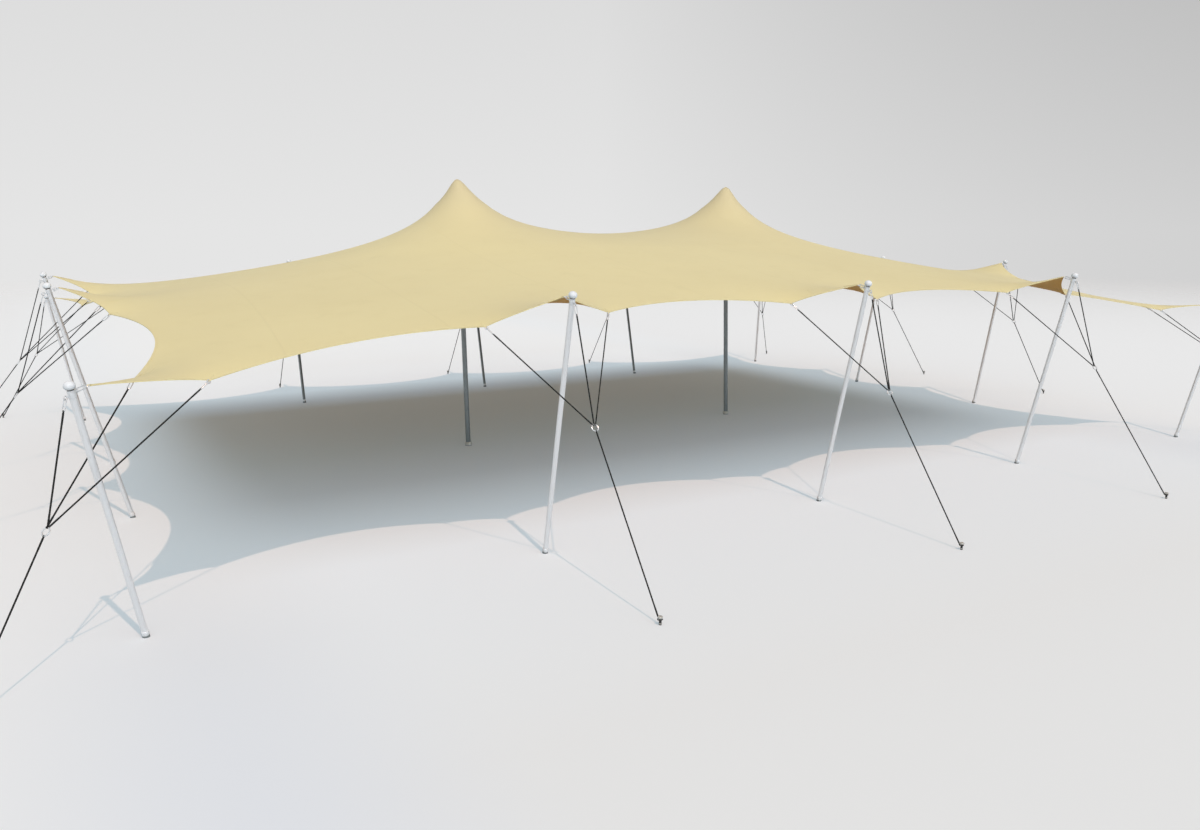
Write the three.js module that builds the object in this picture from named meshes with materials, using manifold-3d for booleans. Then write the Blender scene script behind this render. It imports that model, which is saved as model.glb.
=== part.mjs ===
// Stretch tent: a tensioned fabric canopy on two centre poles and fourteen leaning edge poles.
// Every edge pole has a ground stake and a guy set: one strap from the stake up to a steel ring,
// and three straps from the ring to the pole head and to two eyes on the canopy edge.
// Millimetres, +Z up, ground at Z = 0, the tent's centre over the origin, its long side along X.

import * as THREE from 'three';
import { mergeVertices } from 'three/addons/utils/BufferGeometryUtils.js';
import Module from 'manifold-3d';

const wasm = await Module();
wasm.setup();

const UP = new THREE.Vector3(0, 0, 1);

// Clearance kept between pieces that bear on each other.
const BEARING_GAP = 0.3;

// How deep a wire or a lug is sunk into what it is welded or sewn to.
const WELD_DEPTH = 3;

// How far a leaning pole is drawn on below the ground, before it is cut level.
const UNDERCUT = 60;

// Plan: poles stand one bay apart along the long sides, and a little closer on the short sides.
const BAY = 3600;
const LONG_SIDE_FOOT_Y = 4820;
const SHORT_SIDE_FOOT_X = 6975;
const SHORT_SIDE_POLE_Y = 1458;
const CORNER_FOOT = { x: 7175, y: 4985 };

// The way a corner pole leans, and how far that turns it from the X axis.
const CORNER_LEAN = { x: 0.772, y: 0.636 };
const CORNER_TURN = Math.atan2(CORNER_LEAN.y, CORNER_LEAN.x);

// Each kind of edge pole, seen from the side: distances outward from its foot, and heights.
// The canopy's tip hangs inboard of the pole head by the tip inset.
const LONG_SIDE = {
  lean: 590, headHeight: 2550, tipInset: 150, ringOut: 975, ringHeight: 1430, stakeOut: 2010,
};
const SHORT_SIDE = {
  lean: 580, headHeight: 2550, tipInset: 110, ringOut: 960, ringHeight: 1450, stakeOut: 2040,
};
const CORNER = {
  lean: 446, headHeight: 2047, tipInset: 160, ringOut: 753, ringHeight: 1083, stakeOut: 1508,
};

// Edge pole: tube, flattened ball cap, foot sleeve and the rubber under it.
const POLE_RADIUS = 25;
const CAP = { radius: 40, rise: 36, neckDrop: 24 };
const CAP_LATITUDES = [-15, 20, 55];
const FOOT_SLEEVE = { radius: 29, height: 58, bevel: 4 };
const FOOT_RUBBER = { radius: 31, height: 10 };

// Fittings of a pole head: a lug and an eye on the guy's side, a lug and a shackle on the other.
const HEAD_EYE_DROP = 70;
const HEAD_EYE_REACH = 57;
const SHACKLE_DROP = 50;
const SHACKLE_REACH = 45;
const LUG = { width: 22, thickness: 6 };

// Steel and strap sizes. An eye is round, and a link is an eye drawn out lengthwise.
const EYE = { radius: 14, wire: 4.5 };
const LINK = { radius: 12, wire: 4, length: 92 };
const RING = { radius: 31, wire: 5.5 };
const EYE_OFFSET = EYE.radius + EYE.wire - WELD_DEPTH;
const STRAP = { width: 12, thickness: 10 };

// Stake: the part that stands above the ground, a shaft under a broad head. The loop of the guy
// set lies round the shaft.
const STAKE_RADIUS = 11;
const STAKE_HEAD = { foot: 52, rim: 60, shoulder: 70, height: 76 };
const STAKE_HEAD_RADII = { foot: 15, rim: 22, top: 16 };
const STAKE_LOOP = { radius: 20, wire: 4, height: 46 };

// A hexagon's distance from centre to side, as a share of its radius.
const HALF_SIDE_TURN = Math.PI / 6;
const HALF_HEXAGON = Math.cos(HALF_SIDE_TURN);

// Sides of the round solids, and the steps of wire round an eye and round the ring.
const SIDES = { edgePole: 10, centrePole: 12, stake: 8, wire: 4 };
const STEPS = { eye: 6, ring: 12 };

// Centre poles: the foot stands on the ground and the head leans a little toward the back.
const CENTRE_POLE_X = 2385;
const CENTRE_POLE_HEAD_Y = 150;
const CENTRE_POLE_RADIUS = 35;
const CENTRE_HEAD_LATITUDES = [25, 50, 72];
const CENTRE_FOOT = { radius: 48, height: 50, bevel: 5 };
const PEAK_HEIGHT = 3820;

// The head is sought from this far below the peak, in this many ever smaller steps.
const HEAD_SEARCH_REACH = 900;
const HEAD_SEARCH_STEPS = 60;

// Canopy: its thickness, how far its tips hang below the pole heads, and where its eyes are.
const CANOPY_THICKNESS = 6;
const TIP_DROP = 20;
const EYE_SPREAD = 650;
const LONG_EDGE_EYE = { y: 4935, z: 2335 };
const OUTER_EDGE_EYE = { x: 4220, y: 4905, z: 2260 };
const SHORT_EDGE_EYE = { x: 7045, z: 2290, spread: 680 };
const CORNER_LONG_EYE = { x: 6550, y: 4890, z: 1959 };
const CORNER_SHORT_EYE = { x: 7054, y: 4413, z: 1938 };

// Each peak is a cone whose slope eases off outward. It is round over the pole head, and its
// axis leans toward the other peak.
const PEAK_CONE = { reach: 380, spread: 301, core: 118, lean: 0.141 };

// Tensions of the canopy, as the width of fabric that pulls as hard (millimetres). The hem is
// slacker between a tip and its two eyes than along the rest of a side.
const LONG_HEM_TENSION = { along: 2226, nearTip: 1420 };
const SHORT_HEM_TENSION = { along: 1901, nearTip: 988 };
const ACROSS_STRESS = 1.042;
const BILLOW = 0.0000144;
const FORM_STEPS = 4;
const START_HEIGHT = 2400;
const SETTLED = 1e-10;

// How far a link's pull may ease or grow as it is drawn out.
const EASE = { least: 0.5, most: 3 };

// The form is found on a finer grid than the one that is built: this many cells for each.
const FINE_CELLS = 4;

// Corners closer than this are one corner.
const MERGE_DISTANCE = 1e-3;

// Colours.
const FABRIC_COLOUR = 0xdfd2a5;
const POLE_COLOUR = 0xc8cbd0;
const STRAP_COLOUR = 0x3c3c3a;
const STAKE_COLOUR = 0x5a5c5e;

function toSolid(geometry) {
  const bare = geometry.clone();
  bare.deleteAttribute('normal');
  bare.deleteAttribute('uv');
  const merged = mergeVertices(bare, MERGE_DISTANCE);
  return new wasm.Manifold(new wasm.Mesh({
    numProp: 3,
    vertProperties: Float32Array.from(merged.attributes.position.array),
    triVerts: Uint32Array.from(merged.index.array),
  }));
}

function toGeometry(solid) {
  const mesh = solid.getMesh();
  const geometry = new THREE.BufferGeometry();
  geometry.setAttribute('position', new THREE.BufferAttribute(mesh.vertProperties, 3));
  geometry.setIndex(new THREE.BufferAttribute(mesh.triVerts, 1));
  geometry.computeVertexNormals();
  return geometry;
}

function join(geometries) {
  return geometries.map(toSolid).reduce((sum, solid) => sum.add(solid));
}

// What of a solid stands above the ground.
function cutAtGround(solid) {
  return solid.trimByPlane([0, 0, 1], 0);
}

// Points of a turned profile on a ball or a flattened ball, at the given latitudes in degrees.
function domeProfile(radius, rise, centre, latitudes) {
  return latitudes.map((degrees) => {
    const angle = THREE.MathUtils.degToRad(degrees);
    return new THREE.Vector2(radius * Math.cos(angle), centre + rise * Math.sin(angle));
  });
}

// A frame whose X axis runs along one direction and whose Y axis is as near as can be to another.
function frameAt(origin, along, beside) {
  const x = along.clone().normalize();
  const z = new THREE.Vector3().crossVectors(x, beside).normalize();
  const y = new THREE.Vector3().crossVectors(z, x);
  return new THREE.Matrix4().makeBasis(x, y, z).setPosition(origin);
}

// A round eye of wire in the plane of the two directions.
function eyeGeometry(centre, along, beside, size, steps = STEPS.eye) {
  const geometry = new THREE.TorusGeometry(size.radius, size.wire, SIDES.wire, steps);
  return geometry.applyMatrix4(frameAt(centre, along, beside));
}

// A link: a round eye whose two halves are moved apart, from one end's wire to the other's.
function linkGeometry(start, end, beside, size) {
  const geometry = new THREE.TorusGeometry(size.radius, size.wire, SIDES.wire, STEPS.eye);
  const along = end.clone().sub(start);
  const stretch = Math.max(along.length() / 2 - size.radius, 0);
  const position = geometry.attributes.position;
  for (let i = 0; i < position.count; i += 1) {
    const x = position.getX(i);
    if (Math.abs(x) > MERGE_DISTANCE) {
      position.setX(i, x + Math.sign(x) * stretch);
    }
  }
  const middle = start.clone().add(end).multiplyScalar(0.5);
  return geometry.applyMatrix4(frameAt(middle, along, beside));
}

// A flat lug from the skin of a tube out to a point, its width along the given direction.
function lugGeometry(axisPoint, outward, reach, across) {
  const start = POLE_RADIUS - WELD_DEPTH;
  const geometry = new THREE.BoxGeometry(reach - start, LUG.width, LUG.thickness);
  const middle = axisPoint.clone().addScaledVector(outward, (start + reach) / 2);
  return geometry.applyMatrix4(frameAt(middle, outward, across));
}

// A tubular webbing strap, pulled straight between two points.
function strapGeometry(start, end, beside) {
  const along = end.clone().sub(start);
  const geometry = new THREE.BoxGeometry(along.length(), STRAP.width, STRAP.thickness);
  const middle = start.clone().add(end).multiplyScalar(0.5);
  return geometry.applyMatrix4(frameAt(middle, along, beside));
}

// Where the wire of a link bears against the inside of an eye that it pulls on.
function bearingPoint(eyeCentre, pull, eyeSize, linkSize) {
  const reach = eyeSize.radius - eyeSize.wire - linkSize.wire - BEARING_GAP;
  return eyeCentre.clone().addScaledVector(pull, reach);
}

function direction(from, to) {
  return to.clone().sub(from).normalize();
}

// Stations: one for each edge pole, with the turn that points its local X axis outward.
const stations = [];
for (const [row, side] of [['front', -1], ['back', 1]]) {
  for (const column of [-1, 0, 1]) {
    stations.push({
      name: `${row}_${column + 2}`,
      kind: LONG_SIDE,
      foot: new THREE.Vector3(column * BAY, side * LONG_SIDE_FOOT_Y, 0),
      turn: side * Math.PI / 2,
      eyes: [-1, 1].map((step) => longEdgeEye(column, step, side)),
    });
  }
}
for (const [row, side] of [['left', -1], ['right', 1]]) {
  for (const half of [-1, 1]) {
    stations.push({
      name: `${row}_${half < 0 ? 1 : 2}`,
      kind: SHORT_SIDE,
      foot: new THREE.Vector3(side * SHORT_SIDE_FOOT_X, half * SHORT_SIDE_POLE_Y, 0),
      turn: side > 0 ? 0 : Math.PI,
      eyes: [-1, 1].map((step) => new THREE.Vector3(
        side * SHORT_EDGE_EYE.x,
        half * SHORT_SIDE_POLE_Y + step * SHORT_EDGE_EYE.spread,
        SHORT_EDGE_EYE.z,
      )),
    });
  }
}
for (const [row, sideY] of [['front', -1], ['back', 1]]) {
  for (const [column, sideX] of [['left', -1], ['right', 1]]) {
    const turn = sideX > 0 ? CORNER_TURN : Math.PI - CORNER_TURN;
    stations.push({
      name: `corner_${row}_${column}`,
      kind: CORNER,
      foot: new THREE.Vector3(sideX * CORNER_FOOT.x, sideY * CORNER_FOOT.y, 0),
      turn: sideY * turn,
      eyes: [CORNER_LONG_EYE, CORNER_SHORT_EYE].map((eye) => (
        new THREE.Vector3(sideX * eye.x, sideY * eye.y, eye.z)
      )),
    });
  }
}

function longEdgeEye(column, step, side) {
  if (column * step > 0) {
    return new THREE.Vector3(step * OUTER_EDGE_EYE.x, side * OUTER_EDGE_EYE.y, OUTER_EDGE_EYE.z);
  }
  const x = column * BAY + step * EYE_SPREAD;
  return new THREE.Vector3(x, side * LONG_EDGE_EYE.y, LONG_EDGE_EYE.z);
}

// Outward direction, sideways direction and canopy tip of a station, in the tent's frame.
for (const station of stations) {
  station.outward = new THREE.Vector3(Math.cos(station.turn), Math.sin(station.turn), 0);
  station.sideways = new THREE.Vector3(-station.outward.y, station.outward.x, 0);
  station.tip = station.foot.clone()
    .addScaledVector(station.outward, station.kind.lean - station.kind.tipInset)
    .setZ(station.kind.headHeight - TIP_DROP);
}

// The canopy's sheet as it is cut, and how far from a peak the grid has one more line.
const SHEET = { length: 15000, width: 10500 };
const PEAK_LINE = 170;

// The grid of the flat sheet: lines through every tip, eye and peak, with cells between them.
const X_LINES = [
  { to: EYE_SPREAD, cells: 2 },
  { to: CENTRE_POLE_X - PEAK_CONE.reach, cells: 2 },
  { to: CENTRE_POLE_X - PEAK_LINE, cells: 1 },
  { to: CENTRE_POLE_X, cells: 1 },
  { to: CENTRE_POLE_X + PEAK_LINE, cells: 1 },
  { to: CENTRE_POLE_X + PEAK_CONE.reach, cells: 1 },
  { to: BAY - EYE_SPREAD, cells: 1 },
  { to: BAY, cells: 2 },
  { to: OUTER_EDGE_EYE.x, cells: 2 },
  { to: CORNER_LONG_EYE.x, cells: 6 },
  { to: SHEET.length / 2, cells: 2 },
];
const Y_LINES = [
  { to: PEAK_LINE, cells: 1 },
  { to: PEAK_CONE.reach, cells: 1 },
  { to: SHORT_SIDE_POLE_Y - SHORT_EDGE_EYE.spread, cells: 1 },
  { to: SHORT_SIDE_POLE_Y, cells: 2 },
  { to: SHORT_SIDE_POLE_Y + SHORT_EDGE_EYE.spread, cells: 2 },
  { to: CORNER_SHORT_EYE.y, cells: 4 },
  { to: SHEET.width / 2, cells: 2 },
];

// The stretches of each hem that run between a tip and its eyes, from the middle of the side.
const LONG_TIP_SPANS = [
  [0, EYE_SPREAD],
  [BAY - EYE_SPREAD, OUTER_EDGE_EYE.x],
  [CORNER_LONG_EYE.x, SHEET.length / 2],
];
const SHORT_TIP_SPANS = [
  [SHORT_SIDE_POLE_Y - SHORT_EDGE_EYE.spread, SHORT_SIDE_POLE_Y + SHORT_EDGE_EYE.spread],
  [CORNER_SHORT_EYE.y, SHEET.width / 2],
];

// Fine reference lines of both halves of the canopy, from the middle line outward on each side.
function gridLines(spans) {
  const half = [0];
  for (const span of spans) {
    const from = half[half.length - 1];
    const cells = span.cells * FINE_CELLS;
    for (let i = 1; i <= cells; i += 1) {
      half.push(from + (span.to - from) * i / cells);
    }
  }
  return [...half.slice(1).reverse().map((value) => -value), ...half];
}

function hemTension(tension, tipSpans, place) {
  const reach = Math.abs(place);
  return tipSpans.some(([from, to]) => reach > from && reach < to) ? tension.nearTip : tension.along;
}

function nearestIndex(lines, value) {
  let best = 0;
  lines.forEach((line, i) => {
    if (Math.abs(line - value) < Math.abs(lines[best] - value)) {
      best = i;
    }
  });
  return best;
}

function tributaryWidths(lines) {
  return lines.map((line, i) => {
    const before = i > 0 ? (line - lines[i - 1]) / 2 : 0;
    const after = i < lines.length - 1 ? (lines[i + 1] - line) / 2 : 0;
    return before + after;
  });
}

// Form finding by force densities: every free node of the grid comes to rest between its
// neighbours, and each link pulls in proportion to its length. The tips, eyes and peaks are held.
function findCanopyForm() {
  const xs = gridLines(X_LINES);
  const ys = gridLines(Y_LINES);
  const nodeAt = (i, j) => i * ys.length + j;
  const held = new Map();
  const hold = (x, y, point) => held.set(nodeAt(nearestIndex(xs, x), nearestIndex(ys, y)), point);
  const edgeX = xs[xs.length - 1];
  const edgeY = ys[ys.length - 1];
  for (const station of stations) {
    const onLongSide = station.kind === LONG_SIDE;
    const onCorner = station.kind === CORNER;
    const sideX = Math.sign(station.tip.x);
    const sideY = Math.sign(station.tip.y);
    hold(onLongSide ? station.tip.x : sideX * edgeX,
      onLongSide || onCorner ? sideY * edgeY : station.tip.y, station.tip);
    station.eyes.forEach((eye, i) => {
      const onLongHem = onLongSide || (onCorner && i === 0);
      hold(onLongHem ? eye.x : sideX * edgeX, onLongHem ? sideY * edgeY : eye.y, eye);
    });
  }
  xs.forEach((x, i) => ys.forEach((y, j) => {
    const side = Math.sign(x);
    const offX = x - side * CENTRE_POLE_X;
    const reach = Math.hypot(offX, y);
    if (reach < PEAK_CONE.reach + BEARING_GAP) {
      held.set(nodeAt(i, j), conePoint(side, offX, y, reach));
    }
  }));

  const widthsX = tributaryWidths(xs);
  const widthsY = tributaryWidths(ys);
  const links = [];
  const addLink = (a, b, length, pull) => {
    const density = pull / length;
    links.push({ a, b, length, start: density, density });
  };
  const points = [];
  const lift = [];
  for (let i = 0; i < xs.length; i += 1) {
    for (let j = 0; j < ys.length; j += 1) {
      if (i < xs.length - 1) {
        const onHem = j === 0 || j === ys.length - 1;
        const middle = (xs[i] + xs[i + 1]) / 2;
        const hem = onHem ? hemTension(LONG_HEM_TENSION, LONG_TIP_SPANS, middle) : 0;
        addLink(nodeAt(i, j), nodeAt(i + 1, j), xs[i + 1] - xs[i], widthsY[j] + hem);
      }
      if (j < ys.length - 1) {
        const onHem = i === 0 || i === xs.length - 1;
        const middle = (ys[j] + ys[j + 1]) / 2;
        const hem = onHem ? hemTension(SHORT_HEM_TENSION, SHORT_TIP_SPANS, middle) : 0;
        addLink(nodeAt(i, j), nodeAt(i, j + 1), ys[j + 1] - ys[j], widthsX[i] * ACROSS_STRESS + hem);
      }
      const start = new THREE.Vector3(xs[i], ys[j], START_HEIGHT);
      points.push((held.get(nodeAt(i, j)) ?? start).clone());
      lift.push(held.has(nodeAt(i, j)) ? 0 : BILLOW * widthsX[i] * widthsY[j]);
    }
  }
  const noLift = lift.map(() => 0);
  for (let step = 0; step <= FORM_STEPS; step += 1) {
    settle(points, held, links, 'x', noLift);
    settle(points, held, links, 'y', noLift);
    settle(points, held, links, 'z', lift);
    for (const link of links) {
      const drawn = points[link.a].distanceTo(points[link.b]);
      const eased = THREE.MathUtils.clamp(link.length / drawn, EASE.least, EASE.most);
      link.density = link.density / 2 + link.start * eased / 2;
    }
  }
  return everyFineCell(points, xs.length, ys.length);
}

// Where a place near a peak is held, by its distances from the peak on the flat sheet.
function conePoint(side, offX, offY, reach) {
  const drop = PEAK_CONE.spread / 2 * Math.log1p((reach / PEAK_CONE.core) ** 2);
  return new THREE.Vector3(
    side * (CENTRE_POLE_X - PEAK_CONE.lean * drop) + offX,
    CENTRE_POLE_HEAD_Y + offY,
    PEAK_HEIGHT - drop,
  );
}

// The nodes that stand at the corners of the cells that are built.
function everyFineCell(points, fineColumns, fineRows) {
  const columns = (fineColumns - 1) / FINE_CELLS + 1;
  const rows = (fineRows - 1) / FINE_CELLS + 1;
  const kept = [];
  for (let i = 0; i < columns; i += 1) {
    for (let j = 0; j < rows; j += 1) {
      kept.push(points[i * FINE_CELLS * fineRows + j * FINE_CELLS]);
    }
  }
  return { points: kept, columns, rows };
}

// One balance of the pulls and a load along one axis, by conjugate gradients on the free nodes.
function settle(points, held, links, axis, load) {
  const count = points.length;
  const pull = (values, onlyFree) => {
    const result = new Float64Array(count);
    for (const { a, b, density } of links) {
      const difference = density * (values[a] - values[b]);
      result[a] += difference;
      result[b] -= difference;
    }
    if (onlyFree) {
      for (const node of held.keys()) {
        result[node] = 0;
      }
    }
    return result;
  };
  const values = Float64Array.from(points, (point) => point[axis]);
  const residual = pull(values, true).map((value, i) => load[i] - value);
  let search = residual.slice();
  let size = residual.reduce((sum, value) => sum + value * value, 0);
  for (let step = 0; step < count && size > SETTLED; step += 1) {
    const pulled = pull(search, true);
    const along = search.reduce((sum, value, i) => sum + value * pulled[i], 0);
    const reach = size / along;
    for (let i = 0; i < count; i += 1) {
      values[i] += reach * search[i];
      residual[i] -= reach * pulled[i];
    }
    const next = residual.reduce((sum, value) => sum + value * value, 0);
    search = search.map((value, i) => residual[i] + value * next / size);
    size = next;
  }
  points.forEach((point, i) => {
    point[axis] = values[i];
  });
}

// The grid as triangles, each cell cut along its shorter diagonal, facing up.
function canopyTriangles({ points, columns, rows }) {
  const triangles = [];
  for (let i = 0; i < columns - 1; i += 1) {
    for (let j = 0; j < rows - 1; j += 1) {
      const a = i * rows + j;
      const b = a + rows;
      const c = b + 1;
      const d = a + 1;
      if (points[a].distanceTo(points[c]) < points[b].distanceTo(points[d])) {
        triangles.push([a, b, c], [a, c, d]);
      } else {
        triangles.push([a, b, d], [b, c, d]);
      }
    }
  }
  return triangles;
}

// The canopy as a thin closed shell: a top skin, a bottom skin and a strip round the hem.
function canopyShell(form) {
  const { points, columns, rows } = form;
  const triangles = canopyTriangles(form);
  const normals = points.map(() => new THREE.Vector3());
  for (const [a, b, c] of triangles) {
    const normal = new THREE.Vector3().subVectors(points[b], points[a])
      .cross(new THREE.Vector3().subVectors(points[c], points[a]));
    for (const node of [a, b, c]) {
      normals[node].add(normal);
    }
  }
  const positions = [];
  for (const side of [1, -1]) {
    points.forEach((point, i) => {
      const moved = point.clone()
        .addScaledVector(normals[i].normalize(), side * CANOPY_THICKNESS / 2);
      positions.push(moved.x, moved.y, moved.z);
    });
  }
  const under = points.length;
  const index = [];
  for (const [a, b, c] of triangles) {
    index.push(a, b, c, under + a, under + c, under + b);
  }
  const hem = [];
  for (let i = 0; i < columns - 1; i += 1) {
    hem.push(i * rows);
  }
  for (let j = 0; j < rows - 1; j += 1) {
    hem.push((columns - 1) * rows + j);
  }
  for (let i = columns - 1; i > 0; i -= 1) {
    hem.push(i * rows + rows - 1);
  }
  for (let j = rows - 1; j > 0; j -= 1) {
    hem.push(j);
  }
  hem.forEach((node, i) => {
    const next = hem[(i + 1) % hem.length];
    index.push(node, under + node, next, next, under + node, under + next);
  });
  const geometry = new THREE.BufferGeometry();
  geometry.setAttribute('position', new THREE.Float32BufferAttribute(positions, 3));
  geometry.setIndex(index);
  return geometry;
}

// Where things fasten to a station, in the tent's frame.
for (const station of stations) {
  const { foot, outward, kind } = station;
  const at = (out, height) => foot.clone().addScaledVector(outward, out).setZ(height);
  station.head = at(kind.lean, kind.headHeight);
  station.ring = at(kind.ringOut, kind.ringHeight);
  station.stake = at(kind.stakeOut, 0);
  station.up = direction(foot, station.head);
  station.across = new THREE.Vector3().crossVectors(station.sideways, station.up).normalize();
  station.headEye = station.head.clone()
    .addScaledVector(station.up, -HEAD_EYE_DROP)
    .addScaledVector(station.across, HEAD_EYE_REACH);
  station.shackleRoot = station.head.clone()
    .addScaledVector(station.up, -SHACKLE_DROP)
    .addScaledVector(station.across, -SHACKLE_REACH);
  station.tipPull = direction(station.tip, station.shackleRoot);
  station.tipEye = station.tip.clone().addScaledVector(station.tipPull, EYE_OFFSET);
  station.eyePulls = station.eyes.map((eye) => direction(eye, station.ring));
  station.hemEyes = station.eyes.map((eye, i) => (
    eye.clone().addScaledVector(station.eyePulls[i], EYE_OFFSET)
  ));
}

// Canopy: the shell and a stitched-on eye at every tip and every strap.
function buildCanopy() {
  const eyes = [];
  for (const station of stations) {
    eyes.push(eyeGeometry(station.tipEye, station.tipPull, station.sideways, EYE));
    station.hemEyes.forEach((centre, i) => {
      const hemAlong = station.tip.clone().sub(station.eyes[i]).setZ(0);
      eyes.push(eyeGeometry(centre, station.eyePulls[i], hemAlong, EYE));
    });
  }
  return join([canopyShell(findCanopyForm()), ...eyes]);
}

// Edge pole, in its station's frame: foot at the origin, leaning toward local X.
function buildEdgePole(kind) {
  const length = Math.hypot(kind.lean, kind.headHeight);
  const lean = Math.atan2(kind.lean, kind.headHeight);
  const capFoot = length - CAP.neckDrop;
  const capRim = CAP.radius * Math.sqrt(1 - (CAP.neckDrop / CAP.rise) ** 2);
  const profile = [
    new THREE.Vector2(0, -UNDERCUT),
    new THREE.Vector2(FOOT_RUBBER.radius, -UNDERCUT),
    new THREE.Vector2(FOOT_RUBBER.radius, FOOT_RUBBER.height),
    new THREE.Vector2(FOOT_SLEEVE.radius, FOOT_RUBBER.height),
    new THREE.Vector2(FOOT_SLEEVE.radius, FOOT_SLEEVE.height - FOOT_SLEEVE.bevel),
    new THREE.Vector2(POLE_RADIUS, FOOT_SLEEVE.height),
    new THREE.Vector2(POLE_RADIUS, capFoot),
    new THREE.Vector2(capRim, capFoot),
    ...domeProfile(CAP.radius, CAP.rise, length, CAP_LATITUDES),
    new THREE.Vector2(0, length + CAP.rise),
  ];
  const tube = new THREE.LatheGeometry(profile, SIDES.edgePole);
  tube.rotateX(Math.PI / 2);
  tube.rotateY(lean);

  const up = new THREE.Vector3(Math.sin(lean), 0, Math.cos(lean));
  const across = new THREE.Vector3(Math.cos(lean), 0, -Math.sin(lean));
  const inward = across.clone().negate();
  const sideways = new THREE.Vector3(0, 1, 0);
  const head = up.clone().multiplyScalar(length);
  const eyeLevel = head.clone().addScaledVector(up, -HEAD_EYE_DROP);
  const eyeCentre = eyeLevel.clone().addScaledVector(across, HEAD_EYE_REACH);
  const strapPull = direction(eyeCentre, new THREE.Vector3(kind.ringOut, 0, kind.ringHeight));
  const headEye = eyeGeometry(eyeCentre, strapPull, up, EYE);
  const headLug = lugGeometry(eyeLevel, across, HEAD_EYE_REACH - EYE.radius, up);

  const shackleLevel = head.clone().addScaledVector(up, -SHACKLE_DROP);
  const shackleRoot = shackleLevel.clone().addScaledVector(inward, SHACKLE_REACH);
  const tip = new THREE.Vector3(kind.lean - kind.tipInset, 0, kind.headHeight - TIP_DROP);
  const tipPull = direction(tip, shackleRoot);
  const tipEye = tip.clone().addScaledVector(tipPull, EYE_OFFSET);
  const shackleEnd = bearingPoint(tipEye, tipPull, EYE, LINK);
  const shackle = linkGeometry(shackleEnd, shackleRoot,
    new THREE.Vector3().crossVectors(tipPull, sideways), LINK);
  const shackleLug = lugGeometry(shackleLevel, inward, SHACKLE_REACH, sideways);

  return toGeometry(cutAtGround(join([tube, headLug, headEye, shackleLug, shackle])));
}

// Guy set, in the tent's frame: ring, three upper straps with their links, lower strap and loop.
function buildGuy(station) {
  const { ring, stake, sideways } = station;
  const parts = [];
  const loopPull = station.outward.clone().negate();
  const loopSlack = (STAKE_LOOP.radius - STAKE_LOOP.wire) * HALF_HEXAGON - STAKE_RADIUS - BEARING_GAP;
  const loopCentre = stake.clone().setZ(STAKE_LOOP.height).addScaledVector(loopPull, loopSlack);
  const ringPull = direction(ring, loopCentre);
  parts.push(eyeGeometry(ring, ringPull, sideways, RING, STEPS.ring));

  const ringPlane = new THREE.Vector3().crossVectors(ringPull, sideways).normalize();
  const ringRimToward = (target) => {
    const toward = target.clone().sub(ring).projectOnPlane(ringPlane).normalize();
    return ring.clone().addScaledVector(toward, RING.radius + RING.wire - WELD_DEPTH);
  };

  const loopStart = loopCentre.clone().addScaledVector(loopPull, STAKE_LOOP.radius * HALF_HEXAGON);
  const loopCorner = loopPull.clone().applyAxisAngle(UP, HALF_SIDE_TURN);
  parts.push(eyeGeometry(loopCentre, loopCorner, sideways, STAKE_LOOP));
  parts.push(strapGeometry(ringRimToward(loopStart), loopStart, sideways));

  const headPull = direction(station.headEye, ring);
  const headBearing = bearingPoint(station.headEye, headPull, EYE, LINK);
  const targets = [{ bearing: headBearing, pull: headPull, beside: sideways }];
  station.hemEyes.forEach((centre, i) => {
    const pull = station.eyePulls[i];
    const hemAlong = station.tip.clone().sub(station.eyes[i]).setZ(0);
    const beside = new THREE.Vector3().crossVectors(pull, hemAlong).normalize();
    targets.push({ bearing: bearingPoint(centre, pull, EYE, LINK), pull, beside });
  });
  for (const { bearing, pull, beside } of targets) {
    const linkEnd = bearing.clone().addScaledVector(pull, LINK.length - 2 * LINK.wire);
    parts.push(linkGeometry(bearing, linkEnd, beside, LINK));
    parts.push(strapGeometry(linkEnd, ringRimToward(linkEnd), sideways));
  }
  return toGeometry(join(parts));
}

// Stake: shaft and head, standing on the ground.
function buildStake() {
  const profile = [
    new THREE.Vector2(0, 0),
    new THREE.Vector2(STAKE_RADIUS, 0),
    new THREE.Vector2(STAKE_RADIUS, STAKE_HEAD.foot),
    new THREE.Vector2(STAKE_HEAD_RADII.foot, STAKE_HEAD.foot),
    new THREE.Vector2(STAKE_HEAD_RADII.rim, STAKE_HEAD.rim),
    new THREE.Vector2(STAKE_HEAD_RADII.rim, STAKE_HEAD.shoulder),
    new THREE.Vector2(STAKE_HEAD_RADII.top, STAKE_HEAD.height),
    new THREE.Vector2(0, STAKE_HEAD.height),
  ];
  const geometry = new THREE.LatheGeometry(profile, SIDES.stake);
  return geometry.rotateX(Math.PI / 2);
}

// Centre pole, in the tent's frame: foot sleeve, leaning tube and a round head under the canopy.
function centrePoleSolid(side, reach) {
  const profile = [
    new THREE.Vector2(0, -UNDERCUT),
    new THREE.Vector2(CENTRE_FOOT.radius, -UNDERCUT),
    new THREE.Vector2(CENTRE_FOOT.radius, CENTRE_FOOT.height - CENTRE_FOOT.bevel),
    new THREE.Vector2(CENTRE_POLE_RADIUS, CENTRE_FOOT.height),
    new THREE.Vector2(CENTRE_POLE_RADIUS, reach),
    ...domeProfile(CENTRE_POLE_RADIUS, CENTRE_POLE_RADIUS, reach, CENTRE_HEAD_LATITUDES),
    new THREE.Vector2(0, reach + CENTRE_POLE_RADIUS),
  ];
  const tube = new THREE.LatheGeometry(profile, SIDES.centrePole);
  tube.rotateX(Math.PI / 2 - Math.atan2(CENTRE_POLE_HEAD_Y, PEAK_HEIGHT));
  return cutAtGround(toSolid(tube)).translate([side * CENTRE_POLE_X, 0, 0]);
}

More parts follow.
